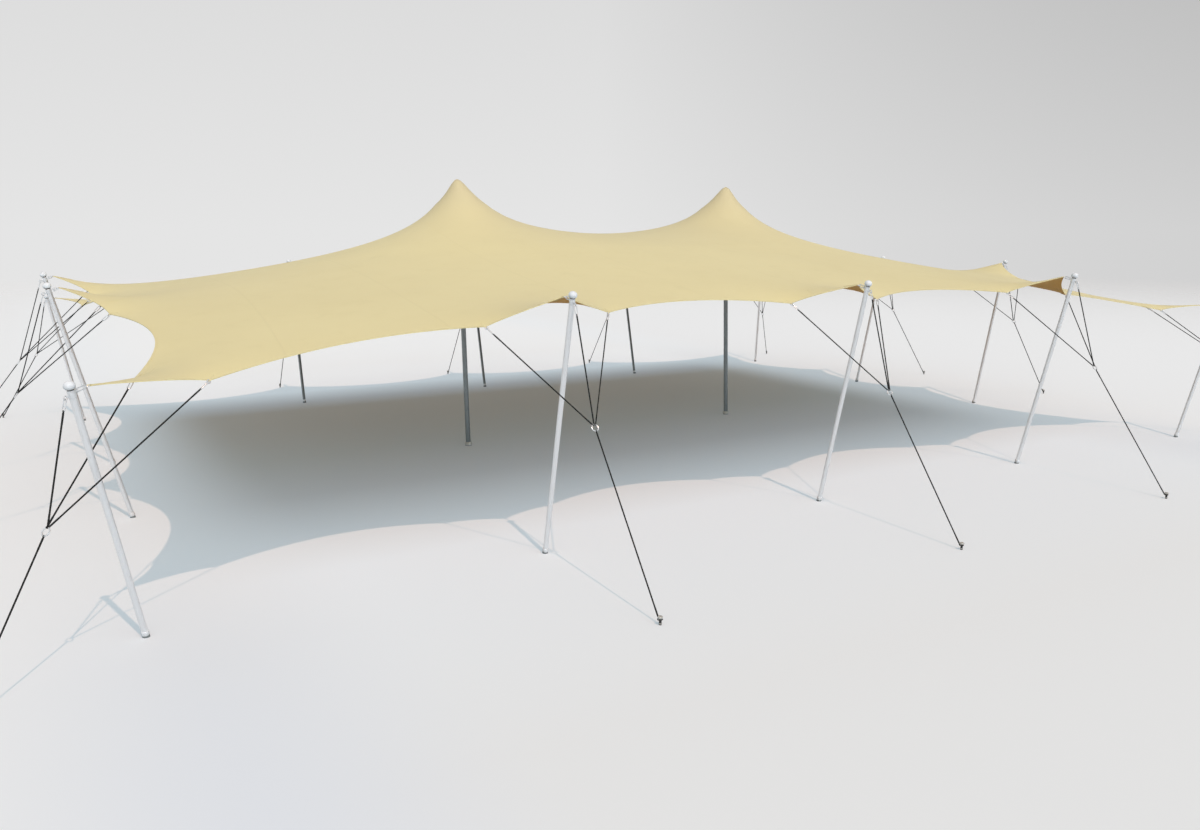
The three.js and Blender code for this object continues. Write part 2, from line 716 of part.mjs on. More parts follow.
// The pole is made longer by the gap that is left above it, until its head bears on the canopy.
function buildCentrePole(side, canopy) {
  let reach = PEAK_HEIGHT - HEAD_SEARCH_REACH;
  for (let step = 0; step < HEAD_SEARCH_STEPS; step += 1) {
    reach += centrePoleSolid(side, reach).minGap(canopy, HEAD_SEARCH_REACH) - BEARING_GAP;
  }
  return toGeometry(centrePoleSolid(side, reach));
}

const fabric = { color: FABRIC_COLOUR, roughness: 0.85, metalness: 0 };
const aluminium = { color: POLE_COLOUR, roughness: 0.4, metalness: 0.6 };
const webbing = { color: STRAP_COLOUR, roughness: 0.8, metalness: 0.1 };
const steel = { color: STAKE_COLOUR, roughness: 0.45, metalness: 0.7 };

function namedMesh(name, geometry, finish) {
  const mesh = new THREE.Mesh(geometry, new THREE.MeshStandardMaterial(finish));
  mesh.name = name;
  return mesh;
}

const tent = new THREE.Group();
const canopy = buildCanopy();
tent.add(namedMesh('canopy', toGeometry(canopy), fabric));
tent.add(namedMesh('centre_pole_left', buildCentrePole(-1, canopy), aluminium));
tent.add(namedMesh('centre_pole_right', buildCentrePole(1, canopy), aluminium));

const poleGeometries = new Map([LONG_SIDE, SHORT_SIDE, CORNER].map((kind) => [kind, buildEdgePole(kind)]));
const stakeGeometry = buildStake();
for (const station of stations) {
  const group = new THREE.Group();
  group.position.copy(station.foot);
  group.rotation.z = station.turn;
  group.add(namedMesh(`pole_${station.name}`, poleGeometries.get(station.kind), aluminium));
  const stake = namedMesh(`stake_${station.name}`, stakeGeometry, steel);
  stake.position.x = station.kind.stakeOut;
  group.add(stake);
  tent.add(group);
  tent.add(namedMesh(`guy_${station.name}`, buildGuy(station), webbing));
}

export default tent;
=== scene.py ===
# Stretch tent: a tensioned fabric canopy on two centre poles and fourteen leaning edge poles,
# each edge pole with a guy set and a ground stake.
# Metres, +Z up, ground at Z = 0, the tent's centre over the origin, its long side along X.

import math
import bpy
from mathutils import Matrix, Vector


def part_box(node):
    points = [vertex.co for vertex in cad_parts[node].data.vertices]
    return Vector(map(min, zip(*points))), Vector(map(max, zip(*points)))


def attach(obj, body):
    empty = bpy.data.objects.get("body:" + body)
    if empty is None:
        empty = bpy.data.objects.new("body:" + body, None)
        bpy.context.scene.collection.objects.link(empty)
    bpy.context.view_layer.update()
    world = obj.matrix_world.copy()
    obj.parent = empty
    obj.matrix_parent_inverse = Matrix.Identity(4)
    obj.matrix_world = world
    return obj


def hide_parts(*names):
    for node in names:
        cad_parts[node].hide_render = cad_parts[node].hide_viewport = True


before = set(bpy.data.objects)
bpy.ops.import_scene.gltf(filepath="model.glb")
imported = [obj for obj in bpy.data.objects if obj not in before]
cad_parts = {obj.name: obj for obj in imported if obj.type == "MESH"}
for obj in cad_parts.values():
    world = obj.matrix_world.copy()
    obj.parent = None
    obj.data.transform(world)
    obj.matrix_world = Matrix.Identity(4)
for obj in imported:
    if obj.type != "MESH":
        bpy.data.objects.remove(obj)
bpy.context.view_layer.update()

from types import SimpleNamespace

import bmesh
import bpy
import numpy as np
from mathutils import Matrix, Vector

BODY = "root"
UP = Vector((0, 0, 1))

# Plan: poles stand one bay apart along the long sides, and a little closer on the short sides. A
# corner pole leans out at an angle to the long side, from how far it goes along and across it.
BAY = 3.6
LONG_SIDE_FOOT_Y = 4.82
SHORT_SIDE_FOOT_X = 6.975
SHORT_SIDE_POLE_Y = 1.458
CORNER_FOOT_X = 7.175
CORNER_FOOT_Y = 4.985
CORNER_TURN = math.atan2(0.636, 0.772)

# Each kind of edge pole, seen from the side: distances outward from its foot, and heights.
# The canopy's tip hangs inboard of the pole head by the tip inset.
LONG_SIDE = SimpleNamespace(lean=0.590, head=2.550, tip_inset=0.150, ring_out=0.975, ring_up=1.430,
                            stake=2.010, tip_hem="long")
SHORT_SIDE = SimpleNamespace(lean=0.580, head=2.550, tip_inset=0.110, ring_out=0.960, ring_up=1.450,
                             stake=2.040, tip_hem="short")
CORNER = SimpleNamespace(lean=0.446, head=2.047, tip_inset=0.160, ring_out=0.753, ring_up=1.083,
                         stake=1.508, tip_hem="corner")

# Edge pole: tube, flattened ball cap on a neck, and a foot sleeve over a rubber. The neck is black:
# painted shade under the cap. Heights run up along the pole from its foot, and drops run down from its
# head, the middle of the ball. The cap's lower edge is rounded off by an inset of its flat face and
# some degrees of its ball.
POLE_RADIUS = 0.025
CAP_RADIUS = 0.040
CAP_RISE = 0.036
CAP_NECK_DROP = 0.024
CAP_EDGE = SimpleNamespace(inset=0.002, latitude=3)
NECK_LENGTH = 0.008
NECK_RADIUS = 0.0235
SLEEVE = SimpleNamespace(radius=0.029, bottom=0.018, top=0.058, bevel=0.004)
RUBBER_RADIUS = 0.028
RUBBER_BEVEL = 0.002

# Every tube starts a little above the ground, inside its foot. A rubber is made down to the
# undercut, and what lies under the ground slides up to it. Each kind of turned piece has its
# number of sides.
TUBE_START = 0.020
UNDERCUT = 0.030
SIDES = SimpleNamespace(centre_pole=36, pole_ends=32, tube=28, neck=24, shaft=20, small=12)

# The poles of the back row, whose tubes take the centre poles' dark finish: painted shade, as they
# stand in the canopy's shadow.
SHADED_BACK_POLES = ("back_1", "back_2", "back_3")

# Fittings of a pole head: a collar, a lug and an eye on the guy's side, a lug and a shackle with
# its pin on the other, and a spring button further down. Lugs and button are sunk a little into
# the tube, and the pin's ends stand out past the legs of the shackle's bow.
HEAD_EYE_DROP = 0.070
HEAD_EYE_REACH = 0.057
SHACKLE_DROP = 0.050
SHACKLE_REACH = 0.045
COLLAR = SimpleNamespace(radius=0.0275, bottom_drop=0.090, top_drop=0.036, bevel=0.002)
LUG_WIDTH = 0.022
LUG_THICKNESS = 0.006
SUNK = 0.001
BUTTON = SimpleNamespace(drop=0.330, radius=0.0045, rim=0.0015, rise=0.003)
PIN = SimpleNamespace(radius=0.0035, head_radius=0.0065, head_length=0.003, near_end=0.007,
                      far_end=0.005)

# Steel and strap sizes. A wire's size is its radius. A loop at a strap's end goes round its wire
# between two turns from the strap's own direction, and its tails bite a little into the strap.
WELD_DEPTH = 0.003
EYE_RADIUS = 0.014
EYE_WIRE = 0.0045
EYE_OFFSET = EYE_RADIUS + EYE_WIRE - WELD_DEPTH
EYE_FLATNESS = 0.62
LINK_RADIUS = 0.012
LINK_WIRE = 0.004
LINK_LENGTH = 0.092
RING_RADIUS = 0.031
RING_WIRE = 0.0055
STRAP_WIDTH = 0.012
STRAP_THICKNESS = 0.010
STRAP_START = 0.012
CUFF_START = STRAP_START + 0.002
CUFF_END = 0.095
CUFF_GROWTH = 0.0012
WEBBING_ROUNDING = 0.35
LOOP_WIDTH = 0.008
LOOP_THICKNESS = 0.0025
LOOP_BITE = 0.0006
LOOP_BEND = (0.42 * math.pi, 1.58 * math.pi)

# Stake: the part that stands above the ground, a shaft with a low ring under a broad head, each
# profile as (radius, height). The guy set's loop lies round the shaft.
STAKE_RADIUS = 0.011
STAKE_RING_RADIUS = STAKE_RADIUS + 0.0025
STAKE_RING_PROFILE = [(STAKE_RADIUS, 0.009), (STAKE_RING_RADIUS, 0.010), (STAKE_RING_RADIUS, 0.016),
                      (STAKE_RADIUS, 0.017)]
STAKE_HEAD_FOOT = 0.052
STAKE_HEAD_RADIUS = 0.022
STAKE_HEAD_PROFILE = [(0.0125, STAKE_HEAD_FOOT), (0.0170, 0.0565),
                      (STAKE_HEAD_RADIUS - 0.0005, 0.0600), (STAKE_HEAD_RADIUS, 0.0625),
                      (STAKE_HEAD_RADIUS, 0.0680), (STAKE_HEAD_RADIUS - 0.0015, 0.0710),
                      (0.0180, 0.0745), (0.0120, 0.0760), (0.0050, 0.0755)]
STAKE_LOOP_RADIUS = 0.020
STAKE_LOOP_HEIGHT = 0.046
STAKE_LOOP_GAP = 0.001

# Centre poles: the foot stands on the ground and the head leans a little toward the back. The
# joint has a groove and a slimmer tube over it, which start and end at heights over the joint's
# own. The head's drops run down from the middle of its ball.
CENTRE_POLE_X = 2.385
CENTRE_POLE_HEAD_Y = 0.150
CENTRE_POLE_RADIUS = 0.035
CENTRE_FOOT = SimpleNamespace(radius=0.048, height=0.050, bevel_width=0.004, bevel_height=0.006,
                              top_radius=0.037, top_rise=0.003)
CENTRE_PAD = SimpleNamespace(radius=0.047, height=0.008)
CENTRE_JOINT = SimpleNamespace(height=1.950, groove_depth=0.0015, groove_start=0.001,
                               groove_end=0.005, upper_start=0.006, upper_step=0.0005)
CENTRE_HEAD = SimpleNamespace(rise=0.034, skirt_radius=0.036, skirt_foot_drop=0.030,
                              skirt_top_drop=0.008, tube_drop=0.010)
PEAK_HEIGHT = 3.820

# Canopy: the sheet as it is cut, and where its tips and eyes are held. The flat area is a guess:
# the rectangle less what its scalloped sides may leave out.
FLAT_LENGTH = 15.0
FLAT_WIDTH = 10.5
TIP_DROP = 0.020
EYE_SPREAD = 0.650
LONG_EDGE_EYE = SimpleNamespace(y=4.935, z=2.335)
OUTER_EDGE_EYE = SimpleNamespace(x=4.220, y=4.905, z=2.260)
SHORT_EDGE_EYE = SimpleNamespace(x=7.045, z=2.290, spread=0.680)
CORNER_LONG_EYE = (6.550, 4.890, 1.959)
CORNER_SHORT_EYE = (7.054, 4.413, 1.938)

# Canopy form: each peak is a cone whose slope eases off outward. It is round over the pole head,
# and its axis leans toward the other peak.
PEAK_CONE = SimpleNamespace(reach=0.380, spread=0.301, core=0.118, lean=0.141)

# Tensions of the canopy, as the width of fabric that pulls as hard. The hem is slacker between a
# tip and its two eyes than along the rest of a side. The cloth pulls a little harder across the
# tent than along it, and the billow is a load that lifts it.
LONG_HEM_TENSION = SimpleNamespace(along=2.226, near_tip=1.420)
SHORT_HEM_TENSION = SimpleNamespace(along=1.901, near_tip=0.988)
ACROSS_STRESS = 1.042
BILLOW = 0.0144

# How the form is found: the sheet starts level, every step eases a link's pull by how far the link
# is drawn out, within limits, and a step is done when no node is pulled by more than the last of
# these.
FORM_STEPS = 4
START_HEIGHT = 2.4
LEAST_EASE = 0.5
MOST_EASE = 3.0
SETTLED = 1e-8

# Lines of half the flat sheet, through every tip, eye and peak: (distance from the middle, cells
# since the last one). Each cell has this many parts along either side.
PEAK_LINE = 0.170
X_LINES = [(EYE_SPREAD, 2), (CENTRE_POLE_X - PEAK_CONE.reach, 2), (CENTRE_POLE_X - PEAK_LINE, 1),
           (CENTRE_POLE_X, 1), (CENTRE_POLE_X + PEAK_LINE, 1), (CENTRE_POLE_X + PEAK_CONE.reach, 1),
           (BAY - EYE_SPREAD, 1), (BAY, 2), (OUTER_EDGE_EYE.x, 2), (CORNER_LONG_EYE[0], 6),
           (FLAT_LENGTH / 2, 2)]
Y_LINES = [(PEAK_LINE, 1), (PEAK_CONE.reach, 1), (SHORT_SIDE_POLE_Y - SHORT_EDGE_EYE.spread, 1),
           (SHORT_SIDE_POLE_Y, 2), (SHORT_SIDE_POLE_Y + SHORT_EDGE_EYE.spread, 2),
           (CORNER_SHORT_EYE[1], 4), (FLAT_WIDTH / 2, 2)]
CELL_PARTS = 4

# The stretches of each hem that run between a tip and its eyes, from the middle of the side.
LONG_TIP_SPANS = [(0.0, EYE_SPREAD), (BAY - EYE_SPREAD, OUTER_EDGE_EYE.x),
                  (CORNER_LONG_EYE[0], FLAT_LENGTH / 2)]
SHORT_TIP_SPANS = [(SHORT_SIDE_POLE_Y - SHORT_EDGE_EYE.spread,
                    SHORT_SIDE_POLE_Y + SHORT_EDGE_EYE.spread),
                   (CORNER_SHORT_EYE[1], FLAT_WIDTH / 2)]

# Cloth sizes. A patch or tape under the sheet bites a little into it, and the low seam on its top
# falls off between two distances from the seam's middle. A tab lies flat on the sheet between two
# distances in from the edge, and its fold goes round the eye.
SHEET_THICKNESS = 0.004
TAPE_THICKNESS = 0.0016
PATCH_THICKNESS = 0.0010
BACKING_BITE = 0.0005
HEM_WIDTH = 0.050
HEM_OVERLAP = 0.002
SEAM_WIDTH = 0.026
SEAM_EDGE = (0.009, 0.012)
PANEL_WIDTH = 1.5
TIP_PATCH_RADIUS = 0.340
EYE_PATCH_RADIUS = 0.200
CORNER_PATCH_RADIUS = 0.480
PEAK_PATCH_RADIUS = 0.300
# Heights between which the main sheet goes over to its darker colour: painted shade over the peaks.
PEAK_SHADE_HEIGHTS = (2.88, 3.68)
TAB_WIDTH = 0.018
TAB_THICKNESS = 0.0022
TAB_FLAT = (0.075, 0.010)
TAB_STEPS = SimpleNamespace(flat=5, fold=9)
STITCH_PITCH = 0.024
STITCH_LENGTH = 0.015
STITCH_THICKNESS = 0.0016
STITCH_INSET = 0.006
KNIT_SCALE = 95.0
WEFT_SCALE = 90.0

# Camera: fitted to the photograph, which is 1200 by 830 pixels.
PHOTO_WIDTH_PX = 1200
FOCAL_LENGTH_PX = 949.11
SENSOR_WIDTH_MM = 36.0
CAMERA_PLACE = (-7.652, -12.747, 3.105)
CAMERA_PITCH = math.radians(10.99)
CAMERA_YAW = math.radians(30.54)

# Light: the sun, and a sky of one colour that is a sum of broad lobes, each with its direction
# and strength.
SUN_SHINE = Vector((0.048, 0.552, -0.833))
SUN_ANGLE = math.radians(0.6)
SUN_STRENGTH = 1.39
SUN_COLOUR = (1.0, 0.73, 0.60)
SKY_COLOUR = (0.72, 0.89, 1.00)
SKY_LOBES = [((0, -1, 0), 2.65), ((0, 1, 0), 0.80), ((-1, 0, 0), 0.72), ((1, 0, 0), 0.28),
             ((0, 0, 1), 0.20)]

# Backdrop: its brightness, and how it darkens upward and toward one side. The sideways darkening
# eases off, and it is deeper higher up.
BACKDROP_BRIGHTNESS = 0.783
BACKDROP_UPWARD = 0.286
BACKDROP_SIDEWAYS = SimpleNamespace(steepness=3.0, easing=1.2, low=0.112, higher=0.25)
BACKDROP_SIDE = (math.cos(CAMERA_YAW), -math.sin(CAMERA_YAW), 0)

# Floor: its colour where it is seen, the colour that it throws back at the tent, and its extent.
FLOOR_COLOUR = (0.66, 0.62, 0.58)
FLOOR_BOUNCE = (0.36, 0.36, 0.36)
FLOOR_RADIUS = 70.0
FLOOR_FADE_SPAN = (16.0, 63.0)
FLOOR_SIDES = 96

# Glow of the floor where it is seen, which is painted light and painted shade. It stands for no lamp,
# and is there only to bring the floor near to the photograph's. It has one colour far off on either
# side, and changes from front to back, as (Y, colour), under the tent and by its open ends: there it
# paints the tent's shadow, dim under the tent and bluish bright along the shadow's front and back. Each
# span is where one of these goes over into the next, as a distance from the middle.
GLOW_FAR = (0.265, 0.295, 0.318)
GLOW_ACROSS = [(-8.0, (0.22, 0.25, 0.27)), (-4.2, (0.25, 0.32, 0.38)), (-1.5, (0.10, 0.14, 0.17)),
               (0.5, (0.07, 0.10, 0.11)), (4.1, (0.06, 0.06, 0.05)), (4.9, (0.13, 0.15, 0.17)),
               (6.1, (0.32, 0.37, 0.41)), (9.5, (0.29, 0.32, 0.34))]
GLOW_END = [(-8.0, (0.18, 0.23, 0.29)), (-5.5, (0.19, 0.24, 0.29)), (-3.0, (0.24, 0.29, 0.33)),
            (9.5, (0.27, 0.31, 0.34))]
GLOW_END_SPAN = (5.2, 7.0)
GLOW_FAR_SPAN = (6.8, 9.0)


# Camera, floor and light

def place_camera():
    data = bpy.data.cameras.new("photo_camera")
    data.sensor_width = SENSOR_WIDTH_MM
    data.lens = FOCAL_LENGTH_PX * SENSOR_WIDTH_MM / PHOTO_WIDTH_PX
    camera = bpy.data.objects.new("photo_camera", data)
    camera.location = CAMERA_PLACE
    camera.rotation_euler = (math.pi / 2 - CAMERA_PITCH, 0, -CAMERA_YAW)
    bpy.context.collection.objects.link(camera)
    bpy.context.scene.camera = camera


def light_scene():
    """A warm sun, a pale blue sky that is brightest in front and is met by diffuse rays alone, and
    the plain backdrop that all other rays meet."""
    sun = bpy.data.lights.new("sun", "SUN")
    sun.energy = SUN_STRENGTH
    sun.color = SUN_COLOUR
    sun.angle = SUN_ANGLE
    lamp = bpy.data.objects.new("sun", sun)
    lamp.rotation_euler = SUN_SHINE.to_track_quat("-Z", "Y").to_euler()
    bpy.context.collection.objects.link(lamp)

    world = bpy.data.worlds.new("studio")
    bpy.context.scene.world = world
    world.use_nodes = True
    tree = world.node_tree
    tree.nodes.clear()
    direction = add_node(tree, "ShaderNodeTexCoord").outputs["Generated"]
    sky = add_node(tree, "ShaderNodeBackground", Color=SKY_COLOUR,
                   Strength=sky_strength(tree, direction))
    backdrop = add_node(tree, "ShaderNodeBackground", Color=(1, 1, 1),
                        Strength=backdrop_brightness(tree, direction))
    lighting = add_node(tree, "ShaderNodeLightPath").outputs["Is Diffuse Ray"]
    show_mix(tree, lighting, backdrop, sky, add_node(tree, "ShaderNodeOutputWorld"))
    bpy.context.scene.view_settings.view_transform = "Standard"


def facing(tree, direction, axis):
    """How far a direction faces an axis: the cosine between them, or zero if it faces away."""
    cosine = add_node(tree, "ShaderNodeVectorMath", operation="DOT_PRODUCT")
    tree.links.new(direction, cosine.inputs[0])
    cosine.inputs[1].default_value = axis
    return combine(tree, "MAXIMUM", cosine.outputs["Value"], 0.0)


def sky_strength(tree, direction):
    total = 0.0
    for axis, strength in SKY_LOBES:
        lobe = combine(tree, "POWER", facing(tree, direction, axis), 2.0)
        total = combine(tree, "ADD", total, combine(tree, "MULTIPLY", lobe, strength))
    return total


def backdrop_brightness(tree, direction):
    rise = facing(tree, direction, UP)
    side = facing(tree, direction, BACKDROP_SIDE)
    eased_off = combine(tree, "MULTIPLY", side, BACKDROP_SIDEWAYS.easing)
    steepness = combine(tree, "SUBTRACT", BACKDROP_SIDEWAYS.steepness, eased_off)
    sideways = combine(tree, "MULTIPLY", side, steepness)
    higher = combine(tree, "MULTIPLY", rise, BACKDROP_SIDEWAYS.higher)
    depth = combine(tree, "ADD", higher, BACKDROP_SIDEWAYS.low)
    upward = combine(tree, "MULTIPLY", rise, BACKDROP_UPWARD)
    shade = combine(tree, "ADD", upward, combine(tree, "MULTIPLY", sideways, depth))
    return combine(tree, "SUBTRACT", BACKDROP_BRIGHTNESS, shade)


def lay_floor():
    """A round pale floor that fades into the backdrop toward its rim. Where it is seen or mirrored it
    glows a little, which is painted light and shade, and it throws less light back than it shows."""
    rim = [(FLOOR_RADIUS * math.cos(turn), FLOOR_RADIUS * math.sin(turn), 0.0)
           for turn in np.linspace(0, 2 * math.pi, FLOOR_SIDES, endpoint=False)]
    mesh = bpy.data.meshes.new("floor")
    mesh.from_pydata(rim, [], [list(range(FLOOR_SIDES))])
    floor = bpy.data.objects.new("floor", mesh)
    bpy.context.collection.objects.link(floor)
    material, tree, shader = new_material("floor_paint")
    lighting = add_node(tree, "ShaderNodeLightPath").outputs["Is Diffuse Ray"]
    seen = combine(tree, "SUBTRACT", 1.0, lighting)
    place = object_place(tree)
    set_inputs(tree, shader, Base_Color=blend(tree, seen, FLOOR_BOUNCE, FLOOR_COLOUR),
               Emission_Color=painted_floor_glow(tree, place), Emission_Strength=seen,
               Roughness=0.9, Specular_IOR_Level=0.1)
    distance = add_node(tree, "ShaderNodeVectorMath", operation="LENGTH")
    tree.links.new(place, distance.inputs[0])
    fade = eased(tree, distance.outputs["Value"], FLOOR_FADE_SPAN)
    clear = add_node(tree, "ShaderNodeBsdfTransparent")
    show_mix(tree, fade, shader, clear, tree.nodes["Material Output"])
    mesh.materials.append(material)


def painted_floor_glow(tree, place):
    """The floor's painted light and shade at a place: under the tent, by its open ends, or far off."""
    axes = add_node(tree, "ShaderNodeSeparateXYZ", Vector=place).outputs
    off_middle = combine(tree, "ABSOLUTE", axes["X"], 0.0)
    middle = colours_across(tree, axes["Y"], GLOW_ACROSS)
    end = colours_across(tree, axes["Y"], GLOW_END)
    near = blend(tree, eased(tree, off_middle, GLOW_END_SPAN), middle, end)
    return blend(tree, eased(tree, off_middle, GLOW_FAR_SPAN), near, GLOW_FAR)


def colours_across(tree, value, colours):
    """A colour for every value, between those given as (value, colour)."""
    start, end = colours[0][0], colours[-1][0]
    stops = [((place - start) / (end - start), colour) for place, colour in colours]
    return ramp(tree, spread(tree, value, (0.0, 1.0), over=(start, end)), stops)


def eased(tree, value, span):
    """Zero before the span, one beyond it, and a soft step between."""
    return add_node(tree, "ShaderNodeMapRange", interpolation_type="SMOOTHSTEP", Value=value,
                    From_Min=span[0], From_Max=span[1]).outputs["Result"]


# Material helpers

def add_node(tree, kind, **settings):
    """A new node. A setting that names an input, with underscores for spaces, is for that input,
    and any other is for a property of the node."""
    node = tree.nodes.new(kind)
    for name, value in settings.items():
        label = name.replace("_", " ") if name.replace("_", " ") in node.inputs else name
        if label in node.inputs:
            set_input(tree, node.inputs[label], value)
        else:
            setattr(node, name, value)
    return node


def set_input(tree, socket, value):
    """Links an input to a socket, or gives it a value. A colour is given without its alpha."""
    if isinstance(value, bpy.types.NodeSocket):
        tree.links.new(value, socket)
    elif socket.type == "RGBA":
        socket.default_value = (*value, 1)
    else:
        socket.default_value = value


def set_inputs(tree, node, **settings):
    for name, value in settings.items():
        set_input(tree, node.inputs[name.replace("_", " ")], value)


def show_mix(tree, factor, first, second, output):
    """Sends a mix of two shaders to the surface of an output."""
    mixed = add_node(tree, "ShaderNodeMixShader", Fac=factor)
    tree.links.new(first.outputs[0], mixed.inputs[1])
    tree.links.new(second.outputs[0], mixed.inputs[2])
    tree.links.new(mixed.outputs[0], output.inputs["Surface"])


def new_material(name):
    material = bpy.data.materials.new(name)
    material.use_nodes = True
    tree = material.node_tree
    return material, tree, tree.nodes["Principled BSDF"]


def noise(tree, place, scale, detail=3.0, roughness=0.55):
    return add_node(tree, "ShaderNodeTexNoise", Vector=place, Scale=scale, Detail=detail,
                    Roughness=roughness).outputs["Fac"]


def wave(tree, place, scale, distortion, direction):
    return add_node(tree, "ShaderNodeTexWave", Vector=place, Scale=scale, Distortion=distortion,
                    bands_direction=direction).outputs["Fac"]


def object_place(tree):
    return add_node(tree, "ShaderNodeTexCoord").outputs["Object"]


def uv_place(tree, name):
    return add_node(tree, "ShaderNodeUVMap", uv_map=name).outputs["UV"]


def stretched(tree, place, scale):
    """The place, scaled along each axis, so that a pattern is drawn out."""
    return add_node(tree, "ShaderNodeMapping", Vector=place, Scale=scale).outputs["Vector"]


def ramp(tree, factor, stops):
    """A colour that goes from stop to stop, each (place, colour), as the factor rises."""
    node = add_node(tree, "ShaderNodeValToRGB", Fac=factor)
    elements = node.color_ramp.elements
    while len(elements) < len(stops):
        elements.new(0.5)
    for element, (place, colour) in zip(elements, stops):
        element.position = place
        element.color = (*colour, 1)
    return node.outputs["Color"]


def spread(tree, factor, values, over=(0.3, 0.7)):
    """A number that goes from the first value to the second as the factor goes over a span."""
    return add_node(tree, "ShaderNodeMapRange", Value=factor, From_Min=over[0], From_Max=over[1],
                    To_Min=values[0], To_Max=values[1]).outputs["Result"]


def blend(tree, factor, first, second):
    node = tree.nodes.new("ShaderNodeMix")
    node.data_type = "RGBA"
    set_input(tree, node.inputs[0], factor)
    set_input(tree, node.inputs[6], first)
    set_input(tree, node.inputs[7], second)
    return node.outputs[2]


def combine(tree, operation, first, second):
    node = add_node(tree, "ShaderNodeMath", operation=operation)
    set_input(tree, node.inputs[0], first)
    set_input(tree, node.inputs[1], second)
    return node.outputs[0]


def dent(tree, height, strength, depth, normal=None):
    """A normal that shows a height, on top of another normal where one is given."""
    node = add_node(tree, "ShaderNodeBump", Height=height, Strength=strength, Distance=depth)
    if normal is not None:
        tree.links.new(normal, node.inputs["Normal"])
    return node.outputs["Normal"]


def darker(colour, share):
    return tuple(value * share for value in colour)


# Materials

def cloth_finish(name, colour, shade, drawn=None):
    """Knitted stretch cloth: fine knit, soft mottling, and dust that has settled in places.
    The main sheet goes over to a darker colour high up over its peaks, which is painted shade, and has
    a low felled seam wherever two of its panels meet."""
    material, tree, shader = new_material(name)
    place = uv_place(tree, "cloth")
    body = object_place(tree)
    tone = noise(tree, body, 0.55, detail=4.0)
    dust = noise(tree, body, 3.5, detail=5.0, roughness=0.65)
    dusty = darker(shade, 0.94)
    base = ramp(tree, tone, [(0.30, shade), (0.62, colour)])
    base = blend(tree, spread(tree, dust, (0.0, 0.35), over=(0.55, 0.78)), base, dusty)
    wale = wave(tree, place, KNIT_SCALE, distortion=0.4, direction="X")
    course = wave(tree, place, KNIT_SCALE, distortion=0.4, direction="Y")
    knit = combine(tree, "MULTIPLY", wale, course)
    base = blend(tree, spread(tree, knit, (0.10, 0.0), over=(0.0, 0.6)), base, dusty)
    normal = dent(tree, noise(tree, body, 1.6, detail=2.0), strength=0.25, depth=0.03)
    # Painted shade: higher up, over the peaks, the colour goes over to the darker drawn colour.
    if drawn:
        height = add_node(tree, "ShaderNodeSeparateXYZ", Vector=body).outputs["Z"]
        base = blend(tree, spread(tree, height, (0.0, 1.0), over=PEAK_SHADE_HEIGHTS), base, drawn)
        across = add_node(tree, "ShaderNodeSeparateXYZ", Vector=place).outputs["X"]
        beside_seam = combine(tree, "PINGPONG", across, PANEL_WIDTH / 2)
        felled = spread(tree, beside_seam, (1.0, 0.0), over=SEAM_EDGE)
        base = blend(tree, spread(tree, felled, (0.0, 0.25), over=(0.0, 1.0)), base, dusty)
        normal = dent(tree, felled, strength=0.5, depth=0.0012, normal=normal)
    set_inputs(tree, shader, Base_Color=base, Roughness=spread(tree, dust, (0.72, 0.88)),
               Normal=dent(tree, knit, strength=0.35, depth=0.0006, normal=normal),
               Sheen_Weight=0.12, Sheen_Roughness=0.5, Specular_IOR_Level=0.25)
    return material


def tube_finish(name, colour, streak, roughness, metallic):
    """Anodised aluminium: fine drawn lines along the tube, scuffs and a dull film."""
    material, tree, shader = new_material(name)
    place = uv_place(tree, "turned")
    drawn = noise(tree, stretched(tree, place, (180.0, 1.5, 1.0)), 4.0)
    scuff = noise(tree, stretched(tree, place, (14.0, 5.0, 1.0)), 2.0, detail=6.0, roughness=0.7)
    base = ramp(tree, drawn, [(0.25, streak), (0.7, colour)])
    scuffed = spread(tree, scuff, (0.0, 0.5), over=(0.58, 0.74))
    base = blend(tree, scuffed, base, darker(streak, 0.72))
    set_inputs(tree, shader, Base_Color=base, Metallic=metallic,
               Roughness=spread(tree, scuff, (roughness - 0.06, roughness + 0.2)),
               Normal=dent(tree, drawn, strength=0.12, depth=0.0004))
    return material


def plain_finish(name, colour, worn, grain, roughness, metallic=0.0):
    """Moulded plastic, rubber or plated steel: a fine grain, mottling and worn places."""
    material, tree, shader = new_material(name)
    body = object_place(tree)
    fine = noise(tree, body, grain)
    wear = noise(tree, body, grain / 9, detail=5.0, roughness=0.65)
    base = ramp(tree, wear, [(0.32, worn), (0.56, colour)])
    base = blend(tree, spread(tree, fine, (0.0, 0.18)), base, darker(colour, 0.8))
    set_inputs(tree, shader, Base_Color=base, Metallic=metallic,
               Roughness=spread(tree, wear, (roughness + 0.12, roughness - 0.05)),
               Normal=dent(tree, fine, strength=0.2, depth=0.0004))
    return material


def webbing_finish(name, colour, rib):
    """Woven webbing: a rib across it at every weft, and threads faded here and there."""
    material, tree, shader = new_material(name)
    run = add_node(tree, "ShaderNodeAttribute", attribute_name="run").outputs["Vector"]
    weft = wave(tree, run, WEFT_SCALE, distortion=0.3, direction="X")
    faded = noise(tree, object_place(tree), 22.0, detail=4.0, roughness=0.6)
    base = blend(tree, spread(tree, weft, (0.0, 0.6), over=(0.2, 0.8)), colour, rib)
    pale = tuple(min(value * 1.5, 1.0) for value in rib)
    base = blend(tree, spread(tree, faded, (0.0, 0.4), over=(0.5, 0.75)), base, pale)
    set_inputs(tree, shader, Base_Color=base, Roughness=0.85, Specular_IOR_Level=0.2,
               Normal=dent(tree, weft, strength=0.5, depth=0.0008))
    return material


